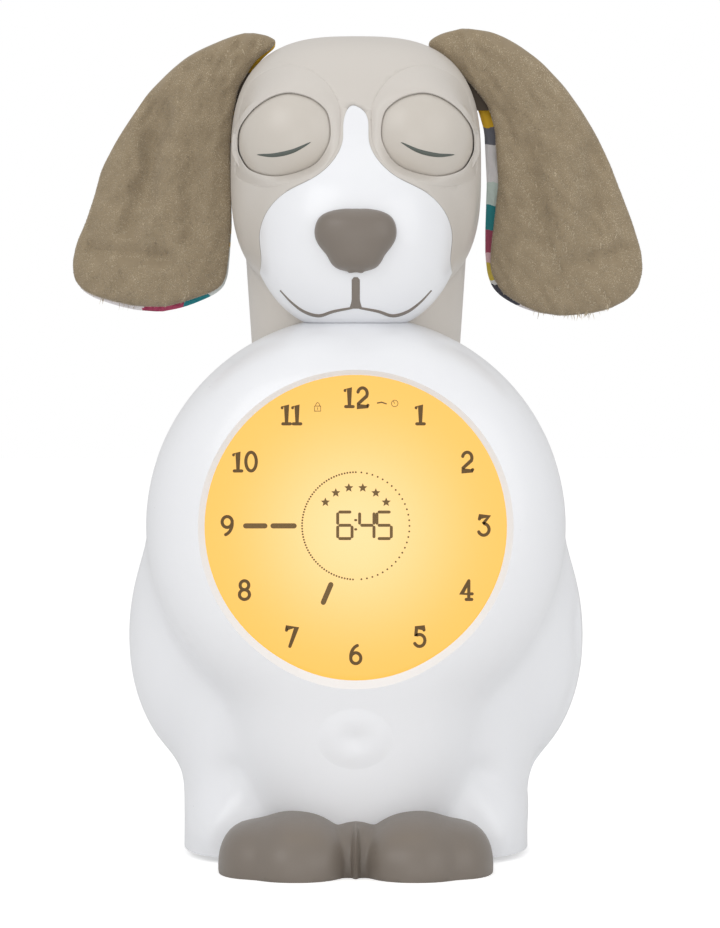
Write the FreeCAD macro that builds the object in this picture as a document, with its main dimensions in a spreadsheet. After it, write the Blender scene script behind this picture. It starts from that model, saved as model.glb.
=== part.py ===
import FreeCAD, Part
import math
import os
import re

# Night-light alarm clock in the shape of a sitting puppy, with a doll's-eye mechanism in its head.
# Front is -Y, +Z is up, and the origin is the middle of the resting plane under the round dial.
Vec = FreeCAD.Vector
Rotation = FreeCAD.Rotation
doc = FreeCAD.newDocument("puppy_clock")
sheet = doc.addObject("Spreadsheet::Sheet", "sizes")

# Driving dimensions in millimetres and degrees
DRIVING = [
    # Body moulding
    ("ball_radius", 56.3), ("ball_height", 89.0), ("ball_front_depth", 52.0), ("ball_rear_depth", 46.0),
    ("haunch_offset", 32.0), ("haunch_height", 57.0), ("haunch_width", 30.5), ("haunch_rise", 39.5),
    ("haunch_back", 14.0), ("haunch_depth", 33.0),
    ("foot_offset", 28.0), ("foot_width", 18.7), ("foot_depth", 35.0), ("foot_rise", 20.0),
    ("leg_offset", 31.0), ("leg_height", 32.0), ("leg_width", 17.0), ("leg_depth", 30.0), ("leg_rise", 28.0),
    ("chest_width", 32.0), ("chest_depth", 34.0), ("chest_rise", 48.0), ("chest_height", 42.0),
    ("body_wall", 2.6), ("body_split", 6.0), ("base_height", 1.5),
    # Head and neck mouldings
    ("head_width", 34.0), ("head_depth", 34.0), ("head_rise", 36.0), ("head_height", 184.8),
    ("muzzle_width", 26.0), ("muzzle_depth", 25.0), ("muzzle_rise", 25.4), ("muzzle_height", 166.0),
    ("muzzle_forward", 20.0), ("head_wall", 2.6), ("head_split", 4.0),
    ("neck_width", 28.2), ("neck_depth", 21.0), ("neck_back", 7.0), ("neck_foot", 133.0),
    ("neck_top", 172.0), ("neck_flare", 2.6),
    # Dial stack
    ("dial_radius", 39.2), ("dial_plane", 46.2), ("dial_height", 90.2), ("lens_thickness", 1.8), ("flange_thickness", 1.4),
    ("flange_width", 3.0), ("display_thickness", 2.0), ("guide_thickness", 4.0), ("board_thickness", 1.6),
    ("led_height", 0.8), ("frame_wall", 2.0), ("bezel_slope", 2.2),
    # Eyes and their drive
    ("eye_radius", 16.0), ("eye_offset", 15.5), ("eye_forward", 19.5), ("eye_height", 192.5),
    ("lid_thickness", 1.4), ("lid_tilt", 12.5), ("pupil_radius", 6.5), ("pupil_angle", 110.0),
    ("eye_flat", 4.7), ("socket_gap", 0.4),
    ("gear_module", 0.6), ("eye_teeth", 24), ("idler_teeth", 30), ("pinion_teeth", 14), ("backlash", 0.08),
    ("gear_width", 3.0), ("shaft_radius", 1.5), ("shaft_reach", 27.0), ("pin_radius", 1.0),
    ("cheek_inner", 2.2), ("cheek_thickness", 1.6), ("bush_radius", 2.6), ("running_gap", 0.05),
    ("motor_radius", 6.0), ("motor_length", 16.0),
    # Controls on the back
    ("button_radius", 4.2), ("button_pitch", 13.0), ("button_travel", 1.0), ("button_gap", 0.3),
    ("panel_height", 99.0), ("panel_width", 46.0), ("panel_rise", 32.0), ("panel_thickness", 2.0),
    ("panel_plane", 45.0), ("button_proud", 1.4),
    # Speaker, power and batteries
    ("speaker_height", 69.0), ("speaker_radius", 9.0), ("speaker_depth", 5.0), ("hole_radius", 0.8),
    ("socket_width", 8.0), ("socket_rise", 3.2), ("socket_height", 10.5), ("socket_depth", 8.0),
    ("cell_radius", 5.2), ("cell_length", 44.5), ("cell_pitch", 11.4), ("battery_height", 38.0),
    ("battery_plane", 24.0), ("door_width", 53.0), ("door_rise", 37.0), ("door_gap", 0.35),
    ("door_thickness", 2.0), ("knuckle_radius", 1.0), ("knuckle_length", 5.5), ("lug_length", 11.0),
    ("pin_bore", 0.55), ("door_pin_radius", 0.5),
    # Fasteners
    ("screw_radius", 1.4), ("screw_head", 2.7), ("screw_head_rise", 1.8), ("screw_length", 12.0),
    ("post_radius", 3.2), ("screw_gap", 0.05),
    # Soft ears and paws
    ("ear_thickness", 8.0), ("ear_gap", 0.4), ("tab_width", 10.0), ("tab_thickness", 1.6),
    ("paw_forward", 44.0), ("paw_rise", 17.0), ("outer_toe", 26.8), ("middle_toe", 16.0), ("inner_toe", 7.0),
    ("seat_gap", 0.1), ("inlay_depth", 1.4), ("muzzle_proud", 0.3),
    ("base_thickness", 2.4), ("spacer_length", 4.0),
]

for row, (word, value) in enumerate(DRIVING, start=1):
    sheet.set(f"A{row}", word)
    sheet.set(f"B{row}", str(value))
    sheet.setAlias(f"B{row}", word)
doc.recompute()
WORDS = {word for word, value in DRIVING}
TURN = {"z": Rotation(), "x": Rotation(Vec(0, 1, 0), 90), "y": Rotation(Vec(1, 0, 0), -90)}


def size(word):
    return float(sheet.get(word))


def tie(piece, prop, rule):
    """Bind a property to a rule written in the sheet's words."""
    text = re.sub(r"[a-z_]+", lambda m: "sizes." + m.group() if m.group() in WORDS else m.group(), str(rule))
    piece.setExpression(prop, text)


def place(piece, at, rotation=None):
    piece.Placement = FreeCAD.Placement(Vec(), rotation or Rotation())
    for axis, rule in zip("xyz", at):
        tie(piece, "Placement.Base." + axis, rule)
    return piece


def box(name, width, depth, height, at, rotation=None):
    piece = doc.addObject("Part::Box", name)
    for prop, rule in (("Length", width), ("Width", depth), ("Height", height)):
        tie(piece, prop, rule)
    return place(piece, at, rotation)


def centred(name, width, depth, height, at):
    """A box placed by the middle of its sides, with its near and low faces at the place given."""
    x, y, z = at
    return box(name, width, depth, height, (f"{x} - ({width}) / 2", y, z))


def rod(name, radius, length, at, along="z"):
    piece = doc.addObject("Part::Cylinder", name)
    tie(piece, "Radius", radius)
    tie(piece, "Height", length)
    return place(piece, at, TURN[along])


def cone(name, first, second, length, at, along="z"):
    piece = doc.addObject("Part::Cone", name)
    tie(piece, "Radius1", first)
    tie(piece, "Radius2", second)
    tie(piece, "Height", length)
    return place(piece, at, TURN[along])


def ball(name, radius, at):
    piece = doc.addObject("Part::Sphere", name)
    tie(piece, "Radius", radius)
    return place(piece, at)


def join(name, *pieces):
    piece = doc.addObject("Part::MultiFuse", name)
    piece.Shapes = list(pieces)
    piece.Refine = False
    return piece


def cut(name, base, *tools):
    """Take tools away one after another; a list of tools that lie apart goes in one step."""
    for number, tool in enumerate(tools, start=1):
        step = name if number == len(tools) else f"{name}_step_{number}"
        piece = doc.addObject("Part::Cut", step)
        piece.Base = base
        piece.Tool = group(step + "_tools", *tool) if isinstance(tool, list) else tool
        piece.Refine = False
        base = piece
    return piece


def overlap(name, first, second):
    piece = doc.addObject("Part::Common", name)
    piece.Base = first
    piece.Tool = second
    piece.Refine = False
    return piece


def group(name, *pieces):
    piece = doc.addObject("Part::Compound", name)
    piece.Links = list(pieces)
    return piece


def made(name, shape):
    piece = doc.addObject("Part::Feature", name)
    piece.Shape = shape
    return piece


def mirrored(name, source):
    piece = doc.addObject("Part::Mirroring", name)
    piece.Source = source
    piece.Normal = Vec(1, 0, 0)
    return piece


finished = []


def keep(name, piece):
    """Name a finished sub-part; its label is also its file name."""
    piece.Label = name
    finished.append(piece)
    return piece


# Blown forms: smooth unions of rounded lobes, seen from one middle point


def lobe(centre, half, power, rear_half=None, rear_power=None):
    """How far a point lies from a rounded lobe: under 1 inside it and over 1 outside it."""
    def measure(point):
        across = abs(point[0] - centre[0]) / half[0]
        up = abs(point[2] - centre[2]) / half[2]
        behind = rear_half is not None and point[1] > centre[1]
        deep = abs(point[1] - centre[1]) / (rear_half if behind else half[1])
        bend = rear_power if behind else power[1]
        face = (across ** power[0] + up ** power[0]) ** (1 / power[0])
        return (face ** bend + deep ** bend) ** (1 / bend)
    return measure


def pair(offset, lobe_at):
    return [lobe_at(offset), lobe_at(-offset)]


def reach(middle, direction, lobes, sharpness):
    """Distance from the middle to the blended surface along one direction."""
    near, far = 0.0, 200.0
    while far - near > 0.002:
        radius = (near + far) / 2
        point = [middle[k] + direction[k] * radius for k in range(3)]
        blend = sum(math.exp(sharpness * (1 - measure(point))) for measure in lobes)
        if blend > 1:
            near = radius
        else:
            far = radius
    return near


def blown_form(middle, lobes, sharpness, around, rings):
    """Distances from the middle on a grid of directions, for surfaces that share it."""
    grid = []
    for column in range(around):
        turn = 2 * math.pi * column / around
        line = []
        for ring in range(rings + 1):
            climb = math.pi * (ring / rings - 0.5)
            flat = math.cos(climb) if 0 < ring < rings else 0.0
            direction = (flat * math.cos(turn), flat * math.sin(turn), math.sin(climb))
            line.append((direction, reach(middle, direction, lobes, sharpness)))
        grid.append(line)
    return middle, grid


def skin(name, form, grow):
    """A closed solid of a blown form, grown or shrunk along its rays."""
    middle, grid = form
    poles = []
    for line in grid + grid[:1]:
        poles.append([Vec(*[middle[k] + d[k] * (r + grow) for k in range(3)]) for d, r in line])
    surface = Part.BSplineSurface()
    surface.interpolate(poles)
    return made(name, Part.Solid(Part.Shell([surface.toShape()])))


def depth_at(lobes, sharpness, x, z, side):
    """Where a blown form's surface lies, in front (-1) or behind (+1), at one place seen from there."""
    near, far = 0.0, 90.0
    while far - near > 0.002:
        y = (near + far) / 2
        if sum(math.exp(sharpness * (1 - measure((x, side * y, z)))) for measure in lobes) > 1:
            near = y
        else:
            far = y
    return side * near


BLEND = 14.0
BIG = 120.0


def body_lobes():
    rise = size("ball_height")
    lobes = [
        lobe((0, 0, rise), (size("ball_radius"), size("ball_front_depth"), size("ball_radius")), (2.0, 4.0),
             size("ball_rear_depth"), 2.6),
        lobe((0, 4, 22), (38, 26, 60), (2.4, 2.6), 39, 3.0),
        lobe((0, -12, size("chest_height")), (size("chest_width"), size("chest_depth"), size("chest_rise")),
             (2.0, 2.8)),
        lobe((0, -12, 10), (23, 31, 26), (2.2, 2.8)),
        lobe((0, 6, 46), (40, 38, 52), (2.4, 2.6)),
    ]
    lobes += pair(size("haunch_offset"), lambda x: lobe(
        (x, size("haunch_back"), size("haunch_height")),
        (size("haunch_width"), size("haunch_depth"), size("haunch_rise")), (2.1, 2.2)))
    lobes += pair(size("leg_offset"), lambda x: lobe(
        (x, 6, size("leg_height")), (size("leg_width"), size("leg_depth"), size("leg_rise")), (2.2, 2.2)))
    lobes += pair(size("foot_offset"), lambda x: lobe(
        (x, 4, 5), (size("foot_width"), size("foot_depth"), size("foot_rise")), (3.4, 2.6)))
    return lobes


def head_lobes():
    return [
        lobe((0, 1, size("head_height")), (size("head_width"), size("head_depth"), size("head_rise")),
             (2.9, 2.5)),
        lobe((0, -size("muzzle_forward"), size("muzzle_height")),
             (size("muzzle_width"), size("muzzle_depth"), size("muzzle_rise")), (2.2, 2.2)),
    ]


def paw_lobes():
    """Two paws of three toes each, joined by a low web."""
    front, low = -size("paw_forward"), 4.5
    lobes = [lobe((0, front, low), (8.0, 14.0, size("paw_rise") - low - 2.6), (2.3, 2.3))]
    for side in (-1, 1):
        lobes += [
            lobe((side * 14.5, front, low), (12.5, 17.0, size("paw_rise") + 0.5 - low), (2.3, 2.3)),
            lobe((side * size("outer_toe"), front + 1, low), (8.8, 15.0, size("paw_rise") - 1 - low), (2.5, 2.3)),
            lobe((side * size("outer_toe"), front - 6, low), (8.4, 11.0, 9.5), (2.4, 2.3)),
            lobe((side * size("middle_toe"), front - 9, 5.0), (7.5, 11.0, 10.0), (2.3, 2.3)),
            lobe((side * size("inner_toe"), front - 6, low), (7.0, 12.0, 9.5), (2.3, 2.3)),
        ]
    return lobes


body = blown_form((0, 4, 52), body_lobes(), BLEND, 44, 32)
head = blown_form((0, -6, 180), head_lobes(), BLEND, 30, 24)
body_outer = skin("body_outer", body, 0)
body_inner = skin("body_inner", body, -size("body_wall"))
head_outer = skin("head_outer", head, 0)
head_inner = skin("head_inner", head, -size("head_wall"))
body_middle = skin("body_middle", body, -size("body_wall") / 3)
head_middle = skin("head_middle", head, -size("head_wall") / 3)
body_pocket = skin("body_pocket", body, -size("inlay_depth"))
body_door = skin("body_door", body, -size("door_thickness"))
head_pocket = skin("head_pocket", head, -size("inlay_depth"))
head_raised = skin("head_raised", head, size("muzzle_proud"))
head_clear = skin("head_clear", head, size("ear_gap"))

# Body mouldings
body_hollow = cut("body_hollow", body_outer, body_inner)
behind_split = box("behind_split", 2 * BIG, BIG, 3 * BIG, (-BIG, "body_split", -BIG))
before_split = box("before_split", 2 * BIG, BIG, 3 * BIG, (-BIG, f"body_split - {BIG}", -BIG))
under_base = box("under_base", 2 * BIG, 2 * BIG, BIG, (-BIG, -BIG, f"base_height - {BIG}"))


def ellipse_wall(name, grow, low, high, flare):
    """An upright oval column round the neck's middle line."""
    wires = []
    for height, extra in ((low, grow), (high, grow + flare)):
        sides = (size("neck_width") + extra, size("neck_depth") + extra)
        centre = Vec(0, size("neck_back"), height)
        curve = Part.Ellipse(centre + Vec(sides[0], 0, 0), centre + Vec(0, sides[1], 0), centre)
        wires.append(Part.Wire([curve.toShape()]))
    return made(name, Part.makeLoft(wires, True, True))


neck_foot = size("neck_foot")
neck_slope = size("neck_flare") / (size("neck_top") - neck_foot)
neck_hole = ellipse_wall("neck_hole", size("seat_gap") - 12 * neck_slope, neck_foot - 12, neck_foot + 60,
                         72 * neck_slope)
collar_outside = ellipse_wall("collar_outside", 2.2, neck_foot - 2, neck_foot + 14, 0)
collar = overlap("collar", collar_outside, body_middle)

POST_PLACES = [(42, 52), (34, 122)]
front_posts = []
rear_posts = []
screw_ways = []
shell_screws = []
for side in (-1, 1):
    for number, (x, z) in enumerate(POST_PLACES):
        tag = f"{'left' if side < 0 else 'right'}_{number}"
        front_posts.append(rod("front_post_" + tag, "post_radius", 20, (side * x, "body_split - 20", z), "y"))
        rib = "front_rib_" + tag
        front_posts.append(box(rib, 16, 20, 2, (side * x - (16 if side < 0 else 0), "body_split - 20", z - 1)))
        rear_posts.append(rod("rear_post_" + tag, "screw_head + 1.6", 60, (side * x, "body_split", z), "y"))
        screw_ways.append(rod("screw_way_" + tag, "screw_radius + screw_gap", 24,
                              (side * x, "body_split - 12", z), "y"))
        screw_ways.append(rod("head_way_" + tag, "screw_head + 0.3", 60, (side * x, "body_split + 5", z), "y"))
        shank = rod("shell_shank_" + tag, "screw_radius", "screw_length",
                    (side * x, "body_split + 5 - screw_length", z), "y")
        head_of = rod("shell_head_" + tag, "screw_head", "screw_head_rise", (side * x, "body_split + 5", z), "y")
        shell_screws.append(join("shell_screw_" + tag, shank, head_of))

BASE_PLACES = [(34, -16), (34, 26)]
base_top = "base_height + base_thickness"
base_posts = {"front": [], "rear": []}
base_ways = []
base_screws = []
for side in (-1, 1):
    for number, (x, y) in enumerate(BASE_PLACES):
        tag = f"{'left' if side < 0 else 'right'}_{number}"
        half = base_posts["front" if number == 0 else "rear"]
        half.append(rod("base_post_" + tag, "post_radius", 14, (side * x, y, base_top)))
        half.append(box("base_rib_" + tag, 16, 2, 14, (side * x - (16 if side < 0 else 0), y - 1, base_top)))
        base_ways.append(rod("base_way_" + tag, "screw_radius + screw_gap", 24, (side * x, y, -10)))
        shank = rod("base_shank_" + tag, "screw_radius", "screw_length - 2",
                    (side * x, y, "base_height + 0.2"))
        head_of = rod("base_head_" + tag, "screw_head", "1.4", (side * x, y, "base_height - 1.2"))
        base_screws.append(join("base_screw_" + tag, shank, head_of))

# Dial window and what lies behind it
face = "-dial_plane"
flange_face = f"{face} + lens_thickness"
display_face = f"{flange_face} + flange_thickness"
guide_face = f"{display_face} + display_thickness"
led_face = f"{guide_face} + guide_thickness"
board_face = f"{led_face} + led_height"
frame_lip = f"{board_face} + board_thickness"
frame_back = f"{frame_lip} + frame_wall"
dial_at = lambda depth: (0, depth, "dial_height")
dial_hole = rod("dial_hole", "dial_radius", 20, dial_at(f"{face} - 14"), "y")
bezel = cone("bezel", "dial_radius + 2 * bezel_slope", "dial_radius", "2 * bezel_slope",
             dial_at(f"{face} - 2 * bezel_slope"), "y")
flange_pocket = rod("flange_pocket", "dial_radius + flange_width + seat_gap", 30, dial_at(flange_face), "y")
lens_front = rod("lens_front", "dial_radius - seat_gap", "lens_thickness", dial_at(face), "y")
lens_flange = rod("lens_flange", "dial_radius + flange_width", "flange_thickness", dial_at(flange_face), "y")
keep("dial_window", join("dial_window_solid", lens_front, lens_flange))
stack_radius = "dial_radius - 0.6"
keep("display_glass", rod("display", stack_radius, "display_thickness", dial_at(display_face), "y"))
keep("light_guide", rod("guide", stack_radius, "guide_thickness", dial_at(guide_face), "y"))
keep("led_board", rod("led_plate", stack_radius, "board_thickness", dial_at(board_face), "y"))
leds = []
for number in range(12):
    turn = math.radians(30 * number + 15)
    leds.append(centred(f"led_{number}", 3, "led_height - 0.1", 3,
                        (round(30 * math.cos(turn), 2), f"{led_face} + 0.1",
                         f"dial_height + {round(30 * math.sin(turn) - 1.5, 2)}")))
keep("backlight_leds", group("led_group", *leds))
frame_radius = "dial_radius + flange_width"
frame_ring = rod("frame_ring", frame_radius, f"{frame_back} - ({display_face})", dial_at(display_face), "y")
frame_bore = rod("frame_bore", "dial_radius - 0.5", f"{frame_lip} - ({display_face})",
                 dial_at(display_face), "y")
frame_window = rod("frame_window", "dial_radius - 6", 40, dial_at(display_face), "y")
frame_tabs = []
frame_bosses = []
frame_holes = []
frame_screws = []
for number in range(4):
    turn = math.radians(45 + 90 * number)
    spot = [f"({frame_radius} + 2.3) * {round(f(turn), 5)}" for f in (math.cos, math.sin)]
    at = lambda depth: (spot[0], depth, f"dial_height + {spot[1]}")
    frame_tabs.append(rod(f"frame_tab_{number}", "post_radius", "frame_wall",
                          at(f"{frame_back} - frame_wall"), "y"))
    frame_bosses.append(rod(f"frame_boss_{number}", "post_radius", 40, at(f"{frame_back} - frame_wall - 40"), "y"))
    frame_holes.append(rod(f"frame_hole_{number}", "screw_radius + screw_gap", 9, at(f"{frame_back} - 8"), "y"))
    frame_screws.append(join(f"frame_screw_{number}",
                             rod(f"frame_shank_{number}", "screw_radius", 7, at(f"{frame_back} - 7"), "y"),
                             rod(f"frame_head_{number}", "screw_head", "screw_head_rise", at(frame_back), "y")))
frame_solid = join("frame_solid", frame_ring, *frame_tabs)
keep("dial_frame", cut("dial_frame_solid", frame_solid, frame_bore, frame_window, frame_holes))
keep("frame_screws", group("frame_screw_group", *frame_screws))

# Main board on spacers behind the dial frame
spacers = []
for number in range(4):
    turn = math.radians(45 + 90 * number)
    spot = [f"(dial_radius - 1.8) * {round(f(turn), 5)}" for f in (math.cos, math.sin)]
    spacers.append(rod(f"spacer_{number}", 2, "spacer_length", (spot[0], frame_back, f"dial_height + {spot[1]}"),
                       "y"))
keep("board_spacers", group("spacer_group", *spacers))
main_face = f"{frame_back} + spacer_length"
keep("main_board", centred("main_plate", 60, "board_thickness", 60, (0, main_face, "dial_height - 30")))
chip_face = f"{main_face} + board_thickness"
keep("board_chips", group("chip_group",
                          centred("processor", 12, 1.6, 12, (-8, chip_face, "dial_height - 2")),
                          centred("memory", 6, 1.4, 8, (12, chip_face, "dial_height + 4")),
                          centred("driver", 9, 1.6, 6, (6, chip_face, "dial_height - 18")),
                          centred("wire_header", 14, 6, 5, (-12, chip_face, "dial_height + 20"))))

front_base_posts = overlap("front_base_posts", join("front_base_blanks", *base_posts["front"]), body_middle)
front_inside = overlap("front_inside", join("front_blanks", *front_posts, *frame_bosses), body_middle)
front_whole = join("front_whole", body_hollow, front_inside, front_base_posts, collar)
body_front = cut("body_front", front_whole, behind_split, under_base, dial_hole, bezel, flange_pocket,
                 neck_hole, head_clear, screw_ways[::2], base_ways, frame_holes)
keep("body_front_shell", body_front)


def behind(x, z, wall=0.0):
    """The rear surface's depth at one place, or the wall's inside there."""
    return round(depth_at(body_lobes(), BLEND, x, z, 1) - wall, 2)


def lowest_behind(x, z, spread, wall):
    return min(behind(x + a * spread, z + b * spread, wall) for a in (-1, 0, 1) for b in (-1, 0, 1))


def rounded_block(name, width, rise, corner, at, deep):
    """An upright plate with round corners, from the depth in its place backwards."""
    x, y, z = (sheet_value(rule) for rule in at)
    left, right, low, high = x - width / 2, x + width / 2, z - rise / 2, z + rise / 2
    edges = []
    corners = [(right - corner, high - corner, 0), (left + corner, high - corner, 90),
               (left + corner, low + corner, 180), (right - corner, low + corner, 270)]
    points = []
    for cx, cz, start in corners:
        points.append([Vec(cx + corner * math.cos(math.radians(start + turn)), y,
                           cz + corner * math.sin(math.radians(start + turn))) for turn in (0, 45, 90)])
    for number, (first, middle, last) in enumerate(points):
        edges.append(Part.Arc(first, middle, last).toShape())
        edges.append(Part.LineSegment(last, points[(number + 1) % 4][0]).toShape())
    return made(name, Part.Face(Part.Wire(edges)).extrude(Vec(0, deep, 0)))


def sheet_value(rule):
    """Work out a rule in Python with the sheet's present values."""
    if not isinstance(rule, str):
        return float(rule)
    probe = doc.addObject("App::FeaturePython", "probe")
    probe.addProperty("App::PropertyFloat", "Answer")
    tie(probe, "Answer", rule)
    probe.recompute()
    answer = probe.Answer
    doc.removeObject(probe.Name)
    return answer


# Control panel let into the back, its buttons and their switch board
panel_at = (0, 10, "panel_height")
panel_hole = rounded_block("panel_hole", size("panel_width"), size("panel_rise"), 6.0, panel_at, 60)
panel_slab = rounded_block("panel_slab", size("panel_width") - 0.2, size("panel_rise") - 0.2, 5.9, panel_at, 60)
panel_pocket = cut("panel_pocket", panel_hole, body_pocket)
panel_blank = cut("panel_blank", overlap("panel_curved", panel_slab, body_outer), body_pocket)
BUTTONS = ["set_button", "alarm_button", "lamp_button", "down_button", "sound_button", "up_button"]
stem_end = 34.1
switch_rise = 3.0
button_ways = []
buttons = []
switches = []
for number, word in enumerate(BUTTONS):
    x = (number % 3 - 1) * size("button_pitch")
    z = size("panel_height") + (0.5 - number // 3) * size("button_pitch") * 1.12
    radius = size("button_radius")
    outer = behind(x, z)
    inner = round(lowest_behind(x, z, radius + 1.2, size("body_wall")) - 0.25, 2)
    button_ways.append(rod("way_" + word, "button_radius + button_gap", 60, (x, 20, z), "y"))
    shaft = rod("shaft_" + word, "button_radius", f"{outer} + button_proud - ({inner}) + 0.5",
                (x, inner - 0.5, z), "y")
    collar_of = rod("collar_" + word, "button_radius + 1.2", 1, (x, inner - 1, z), "y")
    stem = rod("stem_" + word, 2, inner - stem_end, (x, stem_end, z), "y")
    dome = ball("dome_" + word, "button_radius * 3.2",
                (x, f"{outer} + button_proud - button_radius * 3.2", z))
    slab = overlap("top_" + word, shaft, dome)
    keep(word, join(word + "_solid", slab, collar_of, stem))
    switches.append(centred("switch_" + word, 6, switch_rise - 0.1, 6,
                            (x, stem_end - 1.1 - switch_rise + 0.1, z - 3)))
keep("control_panel", cut("control_panel_solid", panel_blank, button_ways))
keep("tact_switches", group("switch_group", *switches))
switch_face = stem_end - 1.1 - switch_rise + 0.1
keep("switch_board", centred("switch_plate", 46, "board_thickness", 32,
                             (0, f"{switch_face} - board_thickness", "panel_height - 16")))
switch_posts = []
for side in (-1, 1):
    for level in (-1, 1):
        switch_posts.append(rod(f"switch_post_{side + 1}_{level + 1}", 2, 40,
                                (side * 20.6, switch_face, f"panel_height + {level * 13.4}"), "y"))

# Speaker behind its holes
speaker_spot = size("speaker_height")
speaker_seat = round(lowest_behind(0, speaker_spot, size("speaker_radius") * 0.75, size("body_wall")) - 0.2, 2)
speaker_body = rod("speaker_can", "speaker_radius", "speaker_depth", (0, f"{speaker_seat} - speaker_depth",
                                                                     "speaker_height"), "y")
keep("speaker", speaker_body)
cup_outside = rod("cup_outside", "speaker_radius + 1.6", 30, (0, f"{speaker_seat} - speaker_depth",
                                                             "speaker_height"), "y")
cup_inside = rod("cup_inside", "speaker_radius + seat_gap", "30 + speaker_depth", (0, f"{speaker_seat} - speaker_depth - 30",
                                                                 "speaker_height"), "y")
sound_holes = [rod("sound_hole_0", "hole_radius", 60, (0, 20, "speaker_height"), "y")]
for ring, count in ((1, 6), (2, 12)):
    for number in range(count):
        turn = 2 * math.pi * number / count
        across, up = (round(3.1 * ring * f(turn), 3) for f in (math.cos, math.sin))
        sound_holes.append(rod(f"sound_hole_{ring}_{number}", "hole_radius", 60,
                               (across, 20, f"speaker_height + {up}"), "y"))

# Battery box, cells, contacts, door and its screw
door_at = (0, 10, "battery_height")
door_hole = rounded_block("door_hole", size("door_width") + 2 * size("door_gap"),
                          size("door_rise") + 2 * size("door_gap"), 3.0, door_at, 60)
door_slab = rounded_block("door_slab", size("door_width"), size("door_rise"), 2.7, door_at, 60)
door_blank = cut("door_blank", overlap("door_curved", door_slab, body_outer), body_door)
tray_back = "battery_plane"
tray_outside = centred("tray_outside", f"door_width + 2 * door_gap + 1", 40, f"door_rise + 2 * door_gap + 1",
                       (0, tray_back, "battery_height - door_rise / 2 - door_gap - 0.5"))
tray_inside = centred("tray_inside", "cell_length + 4.6", 60, "cell_pitch * 3 + 0.4",
                      (0, "battery_plane + 1.4", "battery_height - cell_pitch * 1.5 - 0.2"))
cell_depth = "battery_plane + 1.5 + cell_radius"
cells = []
contacts = []
for number in (-1, 0, 1):
    level = f"battery_height + cell_pitch * {number}"
    can = rod(f"can_{number + 1}", "cell_radius", "cell_length", ("-cell_length / 2", cell_depth, level), "x")
    tip = rod(f"tip_{number + 1}", 1.9, 0.9, ("cell_length / 2", cell_depth, level), "x")
    cells.append(join(f"cell_{number + 1}", can, tip))
    contacts.append(box(f"plus_contact_{number + 1}", 0.5, 7, 7,
                        ("cell_length / 2 + 1", f"{cell_depth} - 3.5", f"{level} - 3.5")))
    contacts.append(cone(f"minus_contact_{number + 1}", 3.2, 2.0, 1.9,
                         ("-cell_length / 2 - 2", cell_depth, level), "x"))
keep("battery_cells", group("cell_group", *cells))
keep("battery_contacts", group("contact_group", *contacts))
tray_room = overlap("tray_room", cut("tray_solid", tray_outside, tray_inside), body_inner)
door_top = size("battery_height") + size("door_rise") / 2
catch_y = behind(0, door_top - 3.6)
catch_at = lambda depth: (0, depth, "battery_height + door_rise / 2 - 3.2")
door_way = rod("door_way", "screw_radius + 0.15", 40, catch_at(20), "y")
door_sink = rod("door_sink", "screw_head + 0.15", 10, catch_at(catch_y - 1.2), "y")
catch_way = rod("catch_way", 2.3, 40, catch_at(catch_y - 8), "y")
door_screw = join("door_screw_solid",
                  rod("door_shank", "screw_radius", 5, catch_at(catch_y - 6.2), "y"),
                  rod("door_head", "screw_head", 1.0, catch_at(catch_y - 1.2), "y"))

# Door hinge: two knuckles on the door, a lug on the shell between them, and a pin through all three
door_low = size("battery_height") - size("door_rise") / 2
hinge_z = "battery_height - door_rise / 2 + knuckle_radius"
hinge_y = f"{behind(0, door_low + size('knuckle_radius'))} - 0.7 * knuckle_radius"
knuckles = [rod(f"knuckle_{side + 1}", "knuckle_radius", "knuckle_length",
                ("lug_length / 2 + door_gap" if side > 0 else "-lug_length / 2 - door_gap - knuckle_length",
                 hinge_y, hinge_z), "x") for side in (-1, 1)]
lug_room = centred("lug_room", "lug_length + 2 * door_gap", 20, "2 * (knuckle_radius + door_gap)",
                   (0, f"{hinge_y} - 10", f"{hinge_z} - knuckle_radius - door_gap"))
pin_room = rod("pin_room", "pin_bore", "lug_length + 2 * knuckle_length",
               ("-lug_length / 2 - knuckle_length", hinge_y, hinge_z), "x")
keep("battery_door", cut("battery_door_solid", join("door_hung", cut("door_notched", door_blank, lug_room), *knuckles),
                         door_way, door_sink, pin_room))
keep("door_pin", rod("door_pin_solid", "door_pin_radius", "lug_length + 2 * knuckle_length - 0.4",
                     ("-lug_length / 2 - knuckle_length + 0.2", hinge_y, hinge_z), "x"))
door_lug = join("door_lug", rod("lug_barrel", "knuckle_radius", "lug_length", ("-lug_length / 2", hinge_y, hinge_z), "x"),
                centred("lug_foot", "lug_length", "2 * knuckle_radius", "3 * knuckle_radius",
                        (0, f"{hinge_y} - knuckle_radius", f"{hinge_z} - 3 * knuckle_radius")))
keep("battery_door_screw", door_screw)
catch_block = centred("catch_block", 9, 30, "2.2 + door_gap", (0, catch_y - 8, "battery_height + cell_pitch * 1.5 + 0.2"))
keep("battery_box", cut("battery_box_solid", tray_room, catch_way))

# Power socket
socket_y = behind(0, size("socket_height"))
socket_can = centred("socket_can", "socket_width", "socket_depth", "socket_rise",
                     (0, f"{socket_y} - socket_depth - 0.6", "socket_height - socket_rise / 2"))
socket_room = centred("socket_room", "socket_width - 0.8", "socket_depth", "socket_rise - 0.8",
                      (0, f"{socket_y} - socket_depth + 0.4", "socket_height - socket_rise / 2 + 0.4"))
keep("power_socket", cut("power_socket_solid", socket_can, socket_room))
socket_hole = centred("socket_hole", "socket_width + 1.2", 40, "socket_rise + 1.2",
                      (0, f"{socket_y} - 20", "socket_height - socket_rise / 2 - 0.6"))
power_low = "socket_height - socket_rise / 2 - board_thickness"
keep("power_board", centred("power_plate", 18, 15, "board_thickness", (0, f"{socket_y} - 20", power_low)))

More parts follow.
